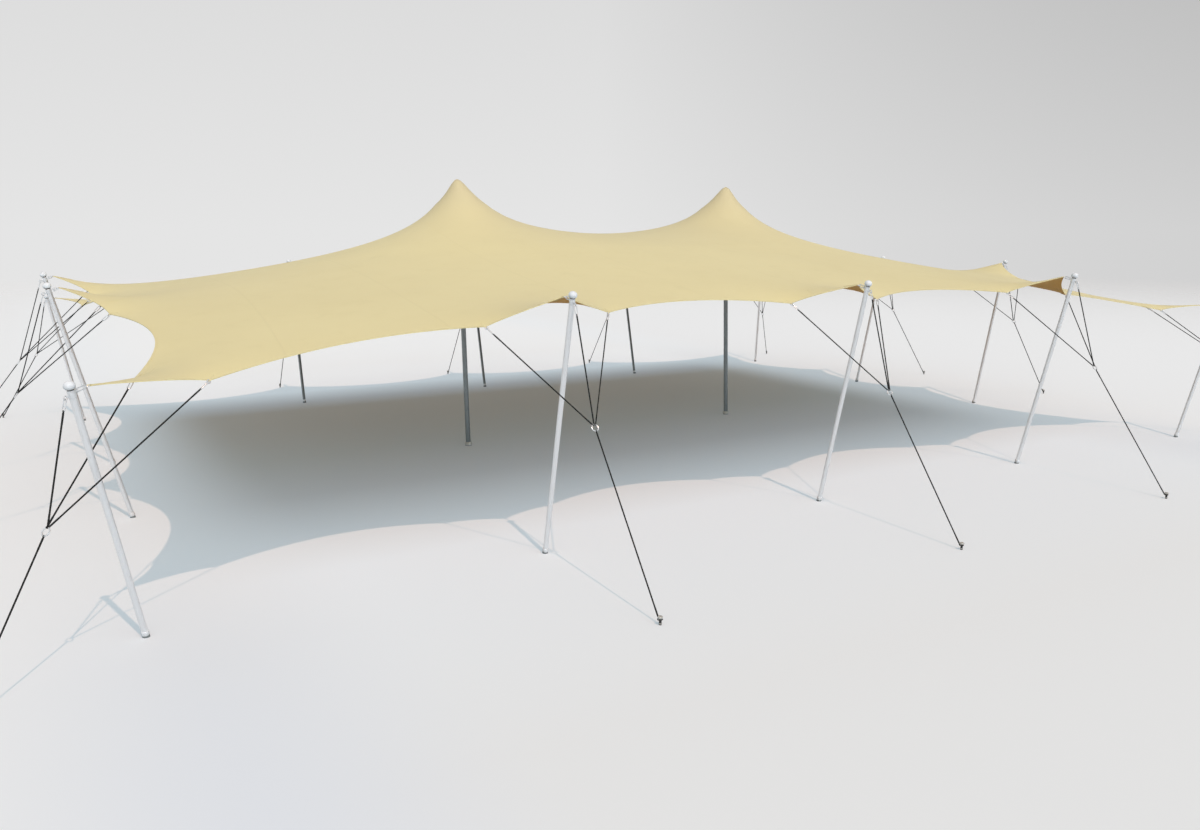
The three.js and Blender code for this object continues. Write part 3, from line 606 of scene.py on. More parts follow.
def make_finishes():
    return SimpleNamespace(
        # The canopy's drawn colour is painted shade, darker high up over the peaks.
        canopy=cloth_finish("canopy_cloth", (0.832, 0.694, 0.356), (0.800, 0.662, 0.336),
                            drawn=(0.640, 0.524, 0.305)),
        # The underside's deep orange is painted light: it stands in for sunlight coming through the
        # cloth.
        underside_through_light=cloth_finish("canopy_underside_painted_light", (0.900, 0.510, 0.120), (0.860, 0.475, 0.110)),
        tape=cloth_finish("hem_tape", (0.824, 0.686, 0.352), (0.788, 0.650, 0.330)),
        patch=cloth_finish("reinforcing_cloth", (0.828, 0.690, 0.354), (0.796, 0.658, 0.334)),
        # Painted light: the tape under the seams has the underside's deep orange, for sunlight through
        # the cloth.
        seam_tape_through_light=cloth_finish("seam_tape_painted_light", (0.800, 0.475, 0.122), (0.740, 0.435, 0.110)),
        thread=plain_finish("sewing_thread", (0.80, 0.67, 0.37), (0.74, 0.61, 0.33),
                            grain=400.0, roughness=0.7),
        tab=webbing_finish("sand_webbing", (0.76, 0.63, 0.34), (0.82, 0.69, 0.38)),
        tube=tube_finish("edge_tube_aluminium", (0.87, 0.88, 0.89), (0.78, 0.79, 0.80),
                         roughness=0.34, metallic=0.7),
        # Painted shade: a dark copy of the tube finish, for the centre poles and the back row, which
        # stand in the canopy's shade.
        shaded_tube=tube_finish("shaded_aluminium", (0.27, 0.30, 0.31), (0.21, 0.24, 0.25),
                         roughness=0.30, metallic=0.8),
        nylon=plain_finish("white_nylon", (0.82, 0.80, 0.79), (0.77, 0.75, 0.74),
                           grain=90.0, roughness=0.58),
        rubber=plain_finish("grey_rubber", (0.20, 0.215, 0.21), (0.26, 0.27, 0.26),
                            grain=120.0, roughness=0.7),
        steel=plain_finish("galvanised_steel", (0.82, 0.83, 0.84), (0.68, 0.69, 0.70),
                           grain=160.0, roughness=0.32, metallic=0.6),
        cast=plain_finish("cast_steel", (0.58, 0.56, 0.51), (0.46, 0.44, 0.40),
                          grain=140.0, roughness=0.5, metallic=0.3),
        webbing=webbing_finish("black_webbing", (0.018, 0.018, 0.017), (0.030, 0.029, 0.028)),
        iron=plain_finish("dark_iron", (0.030, 0.030, 0.031), (0.060, 0.055, 0.050),
                          grain=110.0, roughness=0.5, metallic=0.4),
    )


# Mesh helpers

class Shape:
    """Corners and faces gathered for one piece. Every face has a finish number and its own UVs."""

    def __init__(self):
        self.corners = []
        self.faces = []
        self.finish = []
        self.uvs = []

    def add(self, corners, faces, uvs, finish=0):
        first = len(self.corners)
        self.corners.extend(tuple(corner) for corner in corners)
        self.faces.extend([first + corner for corner in face] for face in faces)
        self.finish.extend(finish if isinstance(finish, list) else [finish] * len(faces))
        for face_uvs in uvs:
            self.uvs.extend(face_uvs)


def bake_piece(name, shape, finishes, nodes, uv_name="turned", crease=35.0):
    """A named object from a shape, riding on the tent's body in place of its CAD nodes."""
    mesh = bpy.data.meshes.new(name)
    mesh.from_pydata(shape.corners, [], shape.faces)
    layer = mesh.uv_layers.new(name=uv_name)
    layer.data.foreach_set("uv", np.array(shape.uvs, dtype=np.float32).ravel())
    for finish in finishes:
        mesh.materials.append(finish)
    mesh.polygons.foreach_set("material_index", shape.finish)
    mesh.validate()
    return set_piece(name, mesh, nodes, crease)


def set_piece(name, mesh, nodes, crease=35.0):
    """A named object from a finished mesh, smooth but for creases over an angle in degrees."""
    mesh.shade_smooth()
    mesh.set_sharp_from_angle(angle=math.radians(crease))
    piece = bpy.data.objects.new(name, mesh)
    bpy.context.collection.objects.link(piece)
    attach(piece, BODY)
    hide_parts(*nodes)
    return piece


def bake_cloth(name, shape, cloths):
    """A cloth piece of the canopy. Each face's finish number counts among its cloths."""
    return bake_piece(name, shape, cloths, ["canopy"], "cloth", 60.0)


def bake_turned(name, profiles, matrix, finish, node, ground=False):
    """A turned piece of one finish, from its (profile, number of sides) pairs."""
    shape = Shape()
    for profile, sides in profiles:
        turn_profile(shape, profile, matrix, sides, ground)
    return bake_piece(name, shape, [finish], [node])


def axis_frame(origin, axis, beside):
    """A matrix whose Z runs along the axis and whose X is as near as can be to beside."""
    z = Vector(axis).normalized()
    y = z.cross(Vector(beside)).normalized()
    x = y.cross(z)
    matrix = Matrix((x, y, z)).transposed().to_4x4()
    matrix.translation = Vector(origin)
    return matrix


def flat_frame(origin, x, y):
    """A matrix at an origin, with its X and Y along two directions at right angles."""
    matrix = Matrix((x, y, x.cross(y))).transposed().to_4x4()
    matrix.translation = origin
    return matrix


def turn_rings(profile, matrix, sides, ground):
    """The corners of a turned profile, and the numbers of the corners in each of its rings."""
    axis = matrix.to_3x3() @ UP
    corners = []
    rings = []
    for radius, height in profile:
        count = 1 if radius == 0 else sides
        rings.append(range(len(corners), len(corners) + count))
        for k in range(count):
            turn = 2 * math.pi * k / sides
            corner = matrix @ Vector((radius * math.cos(turn), radius * math.sin(turn), height))
            if ground and corner.z < 0:
                corner -= axis * (corner.z / axis.z)
            corners.append(corner)
    return corners, rings


def turn_profile(shape, profile, matrix, sides, ground=False):
    """Turns a profile of (radius, height) pairs about the matrix's Z axis, closed at both ends.
    Where ground is set, corners under the ground slide up along the axis to Z = 0."""
    corners, rings = turn_rings(profile, matrix, sides, ground)
    girth = 2 * math.pi * max(radius for radius, _ in profile)
    faces = []
    uvs = []
    v0 = 0.0
    for number, (low, high) in enumerate(zip(rings, rings[1:])):
        (r0, h0), (r1, h1) = profile[number:number + 2]
        v1 = v0 + math.hypot(r1 - r0, h1 - h0)
        for k in range(sides):
            u0, u1 = girth * k / sides, girth * (k + 1) / sides
            after = (k + 1) % sides
            if len(low) == 1:
                faces.append([low[0], high[k], high[after]][::-1])
                uvs.append([(u1, v1), (u0, v1), (u0, v0)])
            elif len(high) == 1:
                faces.append([low[k], low[after], high[0]])
                uvs.append([(u0, v0), (u1, v0), (u0, v1)])
            else:
                faces.append([low[k], low[after], high[after], high[k]])
                uvs.append([(u0, v0), (u1, v0), (u1, v1), (u0, v1)])
        v0 = v1
    shape.add(corners, faces, uvs)


def capped(points):
    """A profile of the given (radius, height) points, closed to the axis at both ends."""
    return [(0, points[0][1]), *points, (0, points[-1][1])]


def dome(radius, rise, centre, start, steps):
    """Profile points of a flattened ball, from a latitude in degrees up to its top."""
    points = []
    for latitude in np.linspace(start, 90, steps):
        angle = math.radians(latitude)
        reach = 0.0 if latitude == 90 else radius * math.cos(angle)
        points.append((reach, centre + rise * math.sin(angle)))
    return points


def add_lug(shape, matrix, start, reach, steps=7):
    """A flat lug along the matrix's X axis, its width along Y, with a round end."""
    half = LUG_WIDTH / 2
    outline = [(start, -half)]
    for turn in np.linspace(-math.pi / 2, math.pi / 2, steps):
        outline.append((reach - half + half * math.cos(turn), half * math.sin(turn)))
    outline.append((start, half))
    count = len(outline)
    corners = [matrix @ Vector((x, y, side * LUG_THICKNESS / 2))
               for side in (-1, 1) for x, y in outline]
    faces = [list(range(count))[::-1], list(range(count, 2 * count))]
    for k in range(count):
        after = (k + 1) % count
        faces.append([k, after, count + after, count + k])
    shape.add(corners, faces, [[(0.0, 0.0)] * len(face) for face in faces])


# Geometry Nodes trees: wire and webbing that follow a path, and stitches in a row

def new_tree(name, inputs):
    """A geometry tree with named inputs, given as (name, socket type)."""
    tree = bpy.data.node_groups.new(name, "GeometryNodeTree")
    tree.interface.new_socket("Geometry", in_out="INPUT", socket_type="NodeSocketGeometry")
    for label, kind in inputs:
        tree.interface.new_socket(label, in_out="INPUT", socket_type=kind)
    tree.interface.new_socket("Geometry", in_out="OUTPUT", socket_type="NodeSocketGeometry")
    return tree, tree.nodes.new("NodeGroupInput"), tree.nodes.new("NodeGroupOutput")


def named_attribute(tree, name):
    return add_node(tree, "GeometryNodeInputNamedAttribute", data_type="FLOAT_VECTOR",
                    Name=name).outputs["Attribute"]


def finish_tree(tree, source, output, geometry):
    """The tail of every tree: realised instances and the finish."""
    real = add_node(tree, "GeometryNodeRealizeInstances", Geometry=geometry)
    painted = add_node(tree, "GeometryNodeSetMaterial", Geometry=real.outputs["Geometry"],
                       Material=source.outputs["Finish"])
    tree.links.new(painted.outputs["Geometry"], output.inputs["Geometry"])


def round_section(tree, source):
    half = combine(tree, "MULTIPLY", source.outputs["Thickness"], 0.5)
    return add_node(tree, "GeometryNodeCurvePrimitiveCircle", Resolution=10, Radius=half)


def flat_section(tree, source):
    section = add_node(tree, "GeometryNodeCurvePrimitiveQuadrilateral",
                       Width=source.outputs["Width"], Height=source.outputs["Thickness"])
    corner = combine(tree, "MULTIPLY", source.outputs["Thickness"], WEBBING_ROUNDING)
    return add_node(tree, "GeometryNodeFilletCurve", Curve=section.outputs["Curve"], mode="POLY",
                    Count=2, Radius=corner)


def sweep_tree(name, make_section):
    """Sweeps a section along every path, its width along the path's own beside vectors."""
    inputs = [("Width", "NodeSocketFloat"), ("Thickness", "NodeSocketFloat"),
              ("Finish", "NodeSocketMaterial")]
    tree, source, output = new_tree(name, inputs)
    path = add_node(tree, "GeometryNodeMeshToCurve", Mesh=source.outputs["Geometry"])
    turned = add_node(tree, "GeometryNodeSetCurveNormal", Curve=path.outputs["Curve"], mode="FREE",
                      Normal=named_attribute(tree, "beside"))
    place = add_node(tree, "GeometryNodeSplineParameter")
    marked = add_node(tree, "GeometryNodeStoreNamedAttribute", Geometry=turned.outputs["Curve"],
                      data_type="FLOAT_VECTOR", domain="POINT", Name="run",
                      Value=place.outputs["Length"])
    section = make_section(tree, source)
    swept = add_node(tree, "GeometryNodeCurveToMesh", Curve=marked.outputs["Geometry"],
                     Profile_Curve=section.outputs["Curve"], Fill_Caps=True)
    finish_tree(tree, source, output, swept.outputs["Mesh"])
    return tree


def stitch_tree():
    """A slim stitch at every step along each path, laid along it and flat on the cloth."""
    inputs = [("Pitch", "NodeSocketFloat"), ("Length", "NodeSocketFloat"),
              ("Thickness", "NodeSocketFloat"), ("Finish", "NodeSocketMaterial")]
    tree, source, output = new_tree("stitch_rows", inputs)
    path = add_node(tree, "GeometryNodeMeshToCurve", Mesh=source.outputs["Geometry"])
    steps = add_node(tree, "GeometryNodeResampleCurve", Curve=path.outputs["Curve"], mode="LENGTH",
                     Length=source.outputs["Pitch"])
    stitch = add_node(tree, "GeometryNodeMeshUVSphere", Segments=4, Rings=2, Radius=0.5)
    size = add_node(tree, "ShaderNodeCombineXYZ", X=source.outputs["Length"],
                    Y=source.outputs["Thickness"], Z=source.outputs["Thickness"])
    shaped = add_node(tree, "GeometryNodeTransform", Geometry=stitch.outputs["Mesh"],
                      Scale=size.outputs["Vector"])
    lifted = add_node(tree, "FunctionNodeAlignRotationToVector", axis="Z",
                      Vector=named_attribute(tree, "beside"))
    laid = add_node(tree, "FunctionNodeAlignRotationToVector", axis="X", pivot_axis="Z",
                    Rotation=lifted.outputs["Rotation"],
                    Vector=add_node(tree, "GeometryNodeInputTangent").outputs["Tangent"])
    placed = add_node(tree, "GeometryNodeInstanceOnPoints", Points=steps.outputs["Curve"],
                      Instance=shaped.outputs["Geometry"], Rotation=laid.outputs["Rotation"])
    finish_tree(tree, source, output, placed.outputs["Instances"])
    return tree


def follow_paths(name, tree, paths, **inputs):
    """The mesh that a tree makes from paths, each of points, beside vectors and closed or not."""
    guide = bpy.data.meshes.new(name + "_guide")
    corners = []
    edges = []
    beside = []
    for points, directions, closed in paths:
        first = len(corners)
        corners.extend(tuple(point) for point in points)
        beside.extend(tuple(direction) for direction in directions)
        edges.extend((first + k, first + k + 1) for k in range(len(points) - 1))
        if closed:
            edges.append((first + len(points) - 1, first))
    guide.from_pydata(corners, edges, [])
    attribute = guide.attributes.new("beside", "FLOAT_VECTOR", "POINT")
    attribute.data.foreach_set("vector", np.array(beside, dtype=np.float32).ravel())
    holder = bpy.data.objects.new(name + "_guide", guide)
    bpy.context.collection.objects.link(holder)
    modifier = holder.modifiers.new("paths", "NODES")
    modifier.node_group = tree
    identifiers = {item.name: item.identifier for item in tree.interface.items_tree
                   if item.in_out == "INPUT"}
    for label, value in inputs.items():
        modifier[identifiers[label]] = value
    scene_state = bpy.context.evaluated_depsgraph_get()
    made = bpy.data.meshes.new_from_object(holder.evaluated_get(scene_state))
    made.name = name
    bpy.data.objects.remove(holder)
    bpy.data.meshes.remove(guide)
    return made


def merge_meshes(name, meshes):
    """One mesh from several that share a finish."""
    gathered = bmesh.new()
    for mesh in meshes:
        gathered.from_mesh(mesh)
    merged = bpy.data.meshes.new(name)
    gathered.to_mesh(merged)
    gathered.free()
    merged.materials.append(meshes[0].materials[0])
    for mesh in meshes:
        bpy.data.meshes.remove(mesh)
    return merged


def circle_path(centre, along, beside, radius, steps=28, stretch=0.0, flat=1.0):
    """A ring in the plane of along and beside. A stretch makes it a link, and flat cuts the near
    side of it straight, at that share of its radius."""
    x = Vector(along).normalized()
    z = x.cross(Vector(beside)).normalized()
    y = z.cross(x)
    points = []
    for k in range(steps):
        turn = 2 * math.pi * (k + 0.5) / steps
        reach = radius * max(math.cos(turn), -flat) + math.copysign(stretch, math.cos(turn))
        points.append(centre + x * reach + y * radius * math.sin(turn))
    return points, [z] * steps, True


def link_path(start, end, beside, radius):
    along = end - start
    stretch = max(along.length / 2 - radius, 0)
    return circle_path((start + end) / 2, along, beside, radius, stretch=stretch)


# Stations: one for each edge pole

def long_edge_eye(column, step, side):
    """The place of an eye on a long side. The last one at either end has a place of its own."""
    if column * step > 0:
        return Vector((step * OUTER_EDGE_EYE.x, side * OUTER_EDGE_EYE.y, OUTER_EDGE_EYE.z))
    x = column * BAY + step * EYE_SPREAD
    return Vector((x, side * LONG_EDGE_EYE.y, LONG_EDGE_EYE.z))


def flat_place(place, hem):
    """Where a place on the edge lies on the flat sheet, and which way is inward from there."""
    side_x = math.copysign(1, place.x)
    side_y = math.copysign(1, place.y)
    edge_x = side_x * FLAT_LENGTH / 2
    edge_y = side_y * FLAT_WIDTH / 2
    if hem == "long":
        return (place.x, edge_y), (0, -side_y)
    if hem == "short":
        return (edge_x, place.y), (-side_x, 0)
    return (edge_x, edge_y), (-side_x, -side_y)


def make_fastening(place, pulled_to, hem_along, hem):
    """An eye on the canopy's edge, with its place and inward direction on the flat sheet too."""
    pull = (pulled_to - place).normalized()
    flat, inward = flat_place(place, hem)
    return SimpleNamespace(place=place, pull=pull, hem_along=hem_along, flat=flat, inward=inward,
                           eye=place + pull * EYE_OFFSET)


def make_station(name, kind, foot, turn, eyes):
    """Where everything of one station fastens, in the tent's frame and on the flat sheet."""
    outward = Vector((math.cos(turn), math.sin(turn), 0))
    sideways = Vector((-outward.y, outward.x, 0))

    def at(out, height):
        return foot + outward * out + UP * height

    head = at(kind.lean, kind.head)
    ring = at(kind.ring_out, kind.ring_up)
    up = (head - foot).normalized()
    across = sideways.cross(up).normalized()
    shackle_root = head - up * SHACKLE_DROP - across * SHACKLE_REACH
    tip_place = at(kind.lean - kind.tip_inset, kind.head - TIP_DROP)
    tip = make_fastening(tip_place, shackle_root, sideways, kind.tip_hem)
    eye_hems = ("long", "short") if kind is CORNER else (kind.tip_hem, kind.tip_hem)
    hem_eyes = []
    for place, hem in zip(eyes, eye_hems):
        hem_along = tip_place - place
        hem_along.z = 0
        hem_eyes.append(make_fastening(place, ring, hem_along.normalized(), hem))
    return SimpleNamespace(
        name=name, kind=kind, foot=foot, outward=outward, sideways=sideways, head=head, ring=ring,
        stake=at(kind.stake, 0), up=up, across=across, shackle_root=shackle_root,
        head_eye=head - up * HEAD_EYE_DROP + across * HEAD_EYE_REACH, tip=tip, hem_eyes=hem_eyes,
    )


def make_stations():
    made = []
    for row, side in (("front", -1), ("back", 1)):
        for column in (-1, 0, 1):
            eyes = [long_edge_eye(column, step, side) for step in (-1, 1)]
            foot = Vector((column * BAY, side * LONG_SIDE_FOOT_Y, 0))
            made.append(make_station(f"{row}_{column + 2}", LONG_SIDE, foot, side * math.pi / 2, eyes))
    for row, side in (("left", -1), ("right", 1)):
        for half in (-1, 1):
            eyes = [Vector((side * SHORT_EDGE_EYE.x,
                            half * SHORT_SIDE_POLE_Y + step * SHORT_EDGE_EYE.spread,
                            SHORT_EDGE_EYE.z)) for step in (-1, 1)]
            foot = Vector((side * SHORT_SIDE_FOOT_X, half * SHORT_SIDE_POLE_Y, 0))
            turn = 0.0 if side > 0 else math.pi
            name = f"{row}_{1 if half < 0 else 2}"
            made.append(make_station(name, SHORT_SIDE, foot, turn, eyes))
    for row, side_y in (("front", -1), ("back", 1)):
        for column, side_x in (("left", -1), ("right", 1)):
            eyes = [Vector((side_x * x, side_y * y, z))
                    for x, y, z in (CORNER_LONG_EYE, CORNER_SHORT_EYE)]
            foot = Vector((side_x * CORNER_FOOT_X, side_y * CORNER_FOOT_Y, 0))
            turn = side_y * (CORNER_TURN if side_x > 0 else math.pi - CORNER_TURN)
            made.append(make_station(f"corner_{row}_{column}", CORNER, foot, turn, eyes))
    return made


# Canopy form: every free node of the sheet's grid comes to rest between its neighbours

def grid_lines(spans):
    """Lines on both sides of the middle, from (distance from it, cells since the last one)."""
    half = [0.0]
    for to, cells in spans:
        start = half[-1]
        count = cells * CELL_PARTS
        half += [start + (to - start) * k / count for k in range(1, count + 1)]
    return np.array([-value for value in reversed(half[1:])] + half)


def shares(lines):
    """The width of cloth that belongs to each line."""
    half = np.diff(lines) / 2
    return np.append(half, 0) + np.insert(half, 0, 0)


def hem_tension(tension, tip_spans, lines):
    """The hem's tension in each cell of a side."""
    middles = np.abs(lines[1:] + lines[:-1]) / 2
    near_tip = np.zeros(middles.shape, dtype=bool)
    for low, high in tip_spans:
        near_tip |= (middles > low) & (middles < high)
    return np.where(near_tip, tension.near_tip, tension.along)


def net_pull(points, along, across):
    """For every node, the sum over its links of the link's pull times the way from its far end."""
    pull = np.zeros_like(points)
    difference = along[..., None] * (points[:-1] - points[1:])
    pull[:-1] += difference
    pull[1:] -= difference
    difference = across[..., None] * (points[:, :-1] - points[:, 1:])
    pull[:, :-1] += difference
    pull[:, 1:] -= difference
    return pull


def net_total(along, across):
    """The sum of the pulls on each node's links, for each unit of length."""
    total = np.zeros((along.shape[0] + 1, along.shape[1]))
    total[:-1] += along
    total[1:] += along
    total[:, :-1] += across
    total[:, 1:] += across
    return total


def settle(points, free, along, across, load):
    """Balances the pulls of all links on the free nodes, by conjugate gradients."""
    ease = free[..., None] / net_total(along, across)[..., None]
    residual = (load - net_pull(points, along, across)) * free[..., None]
    eased = residual * ease
    search = eased.copy()
    size = (residual * eased).sum((0, 1))
    tiny = 1e-30
    for _ in range(points.size):
        pulled = net_pull(search, along, across) * free[..., None]
        reach = size / np.maximum((search * pulled).sum((0, 1)), tiny)
        points += reach * search
        residual -= reach * pulled
        if np.abs(residual).max() < SETTLED:
            break
        eased = residual * ease
        following = (residual * eased).sum((0, 1))
        search = eased + search * following / np.maximum(size, tiny)
        size = following


def hold_peaks(xs, ys, points, free):
    """Fixes the nodes near each peak on its cone."""
    for side in (-1, 1):
        off_x, off_y = np.meshgrid(xs - side * CENTRE_POLE_X, ys, indexing="ij")
        reach = np.hypot(off_x, off_y)
        inside = reach <= PEAK_CONE.reach + SETTLED
        drop = PEAK_CONE.spread / 2 * np.log1p((reach / PEAK_CONE.core) ** 2)
        cone = np.stack([side * (CENTRE_POLE_X - PEAK_CONE.lean * drop) + off_x,
                         CENTRE_POLE_HEAD_Y + off_y, PEAK_HEIGHT - drop], axis=-1)
        points[inside] = cone[inside]
        free[inside] = False


def find_canopy_form(stations):
    xs = grid_lines(X_LINES)
    ys = grid_lines(Y_LINES)
    flat_x, flat_y = np.meshgrid(xs, ys, indexing="ij")
    points = np.stack([flat_x, flat_y, np.full_like(flat_x, START_HEIGHT)], axis=-1)
    free = np.ones(flat_x.shape, dtype=bool)
    for station in stations:
        for fastening in (station.tip, *station.hem_eyes):
            i = int(np.abs(xs - fastening.flat[0]).argmin())
            j = int(np.abs(ys - fastening.flat[1]).argmin())
            points[i, j] = fastening.place
            free[i, j] = False
    hold_peaks(xs, ys, points, free)

    step_x = np.diff(xs)[:, None]
    step_y = np.diff(ys)[None, :]
    along = np.repeat(shares(ys)[None, :], xs.size - 1, axis=0)
    along[:, [0, -1]] += hem_tension(LONG_HEM_TENSION, LONG_TIP_SPANS, xs)[:, None]
    across = ACROSS_STRESS * np.repeat(shares(xs)[:, None], ys.size - 1, axis=1)
    across[[0, -1], :] += hem_tension(SHORT_HEM_TENSION, SHORT_TIP_SPANS, ys)[None, :]
    start_along = along / step_x
    start_across = across / step_y
    along = start_along
    across = start_across
    load = np.zeros_like(points)
    load[..., 2] = BILLOW * np.outer(shares(xs), shares(ys))
    for _ in range(FORM_STEPS + 1):
        settle(points, free, along, across, load)
        drawn_x = np.linalg.norm(np.diff(points, axis=0), axis=-1)
        drawn_y = np.linalg.norm(np.diff(points, axis=1), axis=-1)
        along = along / 2 + start_along * np.clip(step_x / drawn_x, LEAST_EASE, MOST_EASE) / 2
        across = across / 2 + start_across * np.clip(step_y / drawn_y, LEAST_EASE, MOST_EASE) / 2
    return SimpleNamespace(xs=xs, ys=ys, points=points, normals=grid_normals(points))


def grid_normals(points):
    normals = np.cross(np.gradient(points, axis=0), np.gradient(points, axis=1))
    return normals / np.linalg.norm(normals, axis=-1, keepdims=True)


def on_canopy(form, flat):
    """Points and normals of the stretched sheet at places of the flat sheet, or just beyond it."""
    i = np.clip(np.searchsorted(form.xs, flat[..., 0]) - 1, 0, form.xs.size - 2)
    j = np.clip(np.searchsorted(form.ys, flat[..., 1]) - 1, 0, form.ys.size - 2)
    u = ((flat[..., 0] - form.xs[i]) / (form.xs[i + 1] - form.xs[i]))[..., None]
    v = ((flat[..., 1] - form.ys[j]) / (form.ys[j + 1] - form.ys[j]))[..., None]
    found = []
    for grid in (form.points, form.normals):
        found.append((1 - u) * ((1 - v) * grid[i, j] + v * grid[i, j + 1])
                     + u * ((1 - v) * grid[i + 1, j] + v * grid[i + 1, j + 1]))
    points, normals = found
    return points, normals / np.linalg.norm(normals, axis=-1, keepdims=True)


# Canopy cloth: the sheet, and what is sewn to it

def grid_borders(rows, columns, closed):
    """The nodes round the edge of a grid. One whose last column meets its first has two edges."""
    if closed:
        outer = [(rows - 1) * columns + j for j in range(columns)]
        inner = list(range(columns - 1, -1, -1))
        return [outer, inner]
    border = [i * columns for i in range(rows - 1)]
    border += [(rows - 1) * columns + j for j in range(columns - 1)]
    border += [i * columns + columns - 1 for i in range(rows - 1, 0, -1)]
    border += list(range(columns - 1, 0, -1))
    return [border]


def add_shell(shape, top, bottom, flat, finish=(0, 0), closed=False):
    """A closed shell between two grids of points. The first finish is for its top and its rim, the
    second for its underside."""
    rows, columns = top.shape[:2]
    under = rows * columns
    upper = []
    lower = []
    for i in range(rows - 1):
        for j in range(columns if closed else columns - 1):
            after = (j + 1) % columns
            a, b = i * columns + j, (i + 1) * columns + j
            c, d = (i + 1) * columns + after, i * columns + after
            upper.append([a, b, c, d])
            lower.append([under + a, under + d, under + c, under + b])
    for border in grid_borders(rows, columns, closed):
        for node, after in zip(border, border[1:] + border[:1]):
            upper.append([node, under + node, under + after, after])
    faces = upper + lower
    places = np.concatenate([flat.reshape(-1, 2)] * 2).tolist()
    uvs = [[places[corner] for corner in face] for face in faces]
    corners = np.concatenate([top.reshape(-1, 3), bottom.reshape(-1, 3)]).tolist()
    shape.add(corners, faces, uvs, [finish[0]] * len(upper) + [finish[1]] * len(lower))


def lay_cloth(shape, form, flat, above, below, finish=(0, 0), closed=False):
    """A layer of cloth over a grid of places of the flat sheet, from so far above the middle of
    the sheet's thickness to so far below it."""
    points, normals = on_canopy(form, flat)
    add_shell(shape, points + normals * above, points - normals * below, flat, finish, closed)


def hem_places(form, insets):
    """Places all round the sheet, at each of the distances in from its edge."""
    rows = []
    for inset in insets:
        x = np.clip(form.xs, form.xs[0] + inset, form.xs[-1] - inset)
        y = np.clip(form.ys, form.ys[0] + inset, form.ys[-1] - inset)
        if inset < 0:
            x[[0, -1]] += np.array([inset, -inset])
            y[[0, -1]] += np.array([inset, -inset])
        front = [(value, y[0]) for value in x[:-1]]
        right = [(x[-1], value) for value in y[:-1]]
        back = [(value, y[-1]) for value in x[:0:-1]]
        left = [(x[0], value) for value in y[:0:-1]]
        rows.append(front + right + back + left)
    return np.array(rows)


def fan_places(centre, inward, radius, angle, closed=False, rays=17, rings=9, start=0.012):
    """Places in a fan about a point of the sheet, from its middle outward."""
    heading = math.atan2(inward[1], inward[0])
    turns = heading + np.linspace(-angle / 2, angle / 2, rays, endpoint=not closed)
    reaches = np.linspace(start, radius, rings)[:, None]
    return np.stack([centre[0] + reaches * np.cos(turns), centre[1] + reaches * np.sin(turns)], axis=-1)


def rows_on_canopy(form, rows, height, closed):
    """Paths that lie on the cloth at a height over the middle of its thickness."""
    points, normals = on_canopy(form, rows)
    raised = points + normals * height
    return [([Vector(point) for point in line], [Vector(normal) for normal in lean], closed)
            for line, lean in zip(raised, normals)]


def build_sheet(form, finishes):
    shape = Shape()
    flat = np.stack(np.meshgrid(form.xs, form.ys, indexing="ij"), axis=-1)
    half = SHEET_THICKNESS / 2
    lay_cloth(shape, form, flat, half, half, (0, 1))
    return bake_cloth("canopy_sheet", shape, [finishes.canopy, finishes.underside_through_light])


def build_hem(form, finishes):
    """The tape folded over the sheet's edge."""
    shape = Shape()
    insets = [HEM_WIDTH, HEM_WIDTH / 2, -HEM_OVERLAP]
    reach = SHEET_THICKNESS / 2 + TAPE_THICKNESS
    lay_cloth(shape, form, hem_places(form, insets), reach, reach, (0, 1), closed=True)
    return bake_cloth("canopy_hem_tape", shape, [finishes.tape, finishes.underside_through_light])


def build_patches(form, stations, finishes):
    """Doubled cloth where a tip, an eye or a corner is pulled, on both faces of the sheet."""
    shape = Shape()
    reach = SHEET_THICKNESS / 2 + PATCH_THICKNESS
    for station in stations:
        on_corner = station.kind is CORNER
        radius = CORNER_PATCH_RADIUS if on_corner else TIP_PATCH_RADIUS
        angle = math.pi / 2 if on_corner else math.pi
        tip = station.tip
        places = fan_places(tip.flat, tip.inward, radius, angle)
        lay_cloth(shape, form, places, reach, reach, (0, 1))
        for eye in station.hem_eyes:
            places = fan_places(eye.flat, eye.inward, EYE_PATCH_RADIUS, math.pi)
            lay_cloth(shape, form, places, reach, reach, (0, 1))
    return bake_cloth("canopy_edge_patches", shape, [finishes.patch, finishes.underside_through_light])


def build_backing(form, finishes):
    """Tape under every seam and a round patch over each centre pole, on the sheet's underside."""
    shape = Shape()
    bite = SHEET_THICKNESS / 2 - BACKING_BITE
    reach = SHEET_THICKNESS / 2 + PATCH_THICKNESS
    panels = int(FLAT_LENGTH / PANEL_WIDTH)
    for number in range(1, panels):
        seam_x = number * PANEL_WIDTH - FLAT_LENGTH / 2
        sides = seam_x + np.array([-SEAM_WIDTH / 2, SEAM_WIDTH / 2])
        inside = form.ys[1:-1]
        lay_cloth(shape, form, np.stack(np.meshgrid(sides, inside, indexing="ij"), axis=-1),
                  -bite, reach)
    for side in (-1, 1):
        places = fan_places((side * CENTRE_POLE_X, 0), (1, 0), PEAK_PATCH_RADIUS, 2 * math.pi,
                            closed=True, rays=32)
        lay_cloth(shape, form, places, -bite, reach, closed=True)
    return bake_cloth("canopy_backing", shape, [finishes.seam_tape_through_light])


def build_stitching(form, finishes, stitches):
    """Two rows of stitches round the hem, on both faces."""
    paths = []
    reach = SHEET_THICKNESS / 2 + TAPE_THICKNESS
    hem_rows = hem_places(form, [STITCH_INSET, HEM_WIDTH - STITCH_INSET])
    for height in (reach, -reach):
        paths += rows_on_canopy(form, hem_rows, height, True)
    mesh = follow_paths("canopy_stitching", stitches, paths, Pitch=STITCH_PITCH,
                        Length=STITCH_LENGTH, Thickness=STITCH_THICKNESS,
                        Finish=finishes.thread)
    return set_piece("canopy_stitching", mesh, ["canopy"])


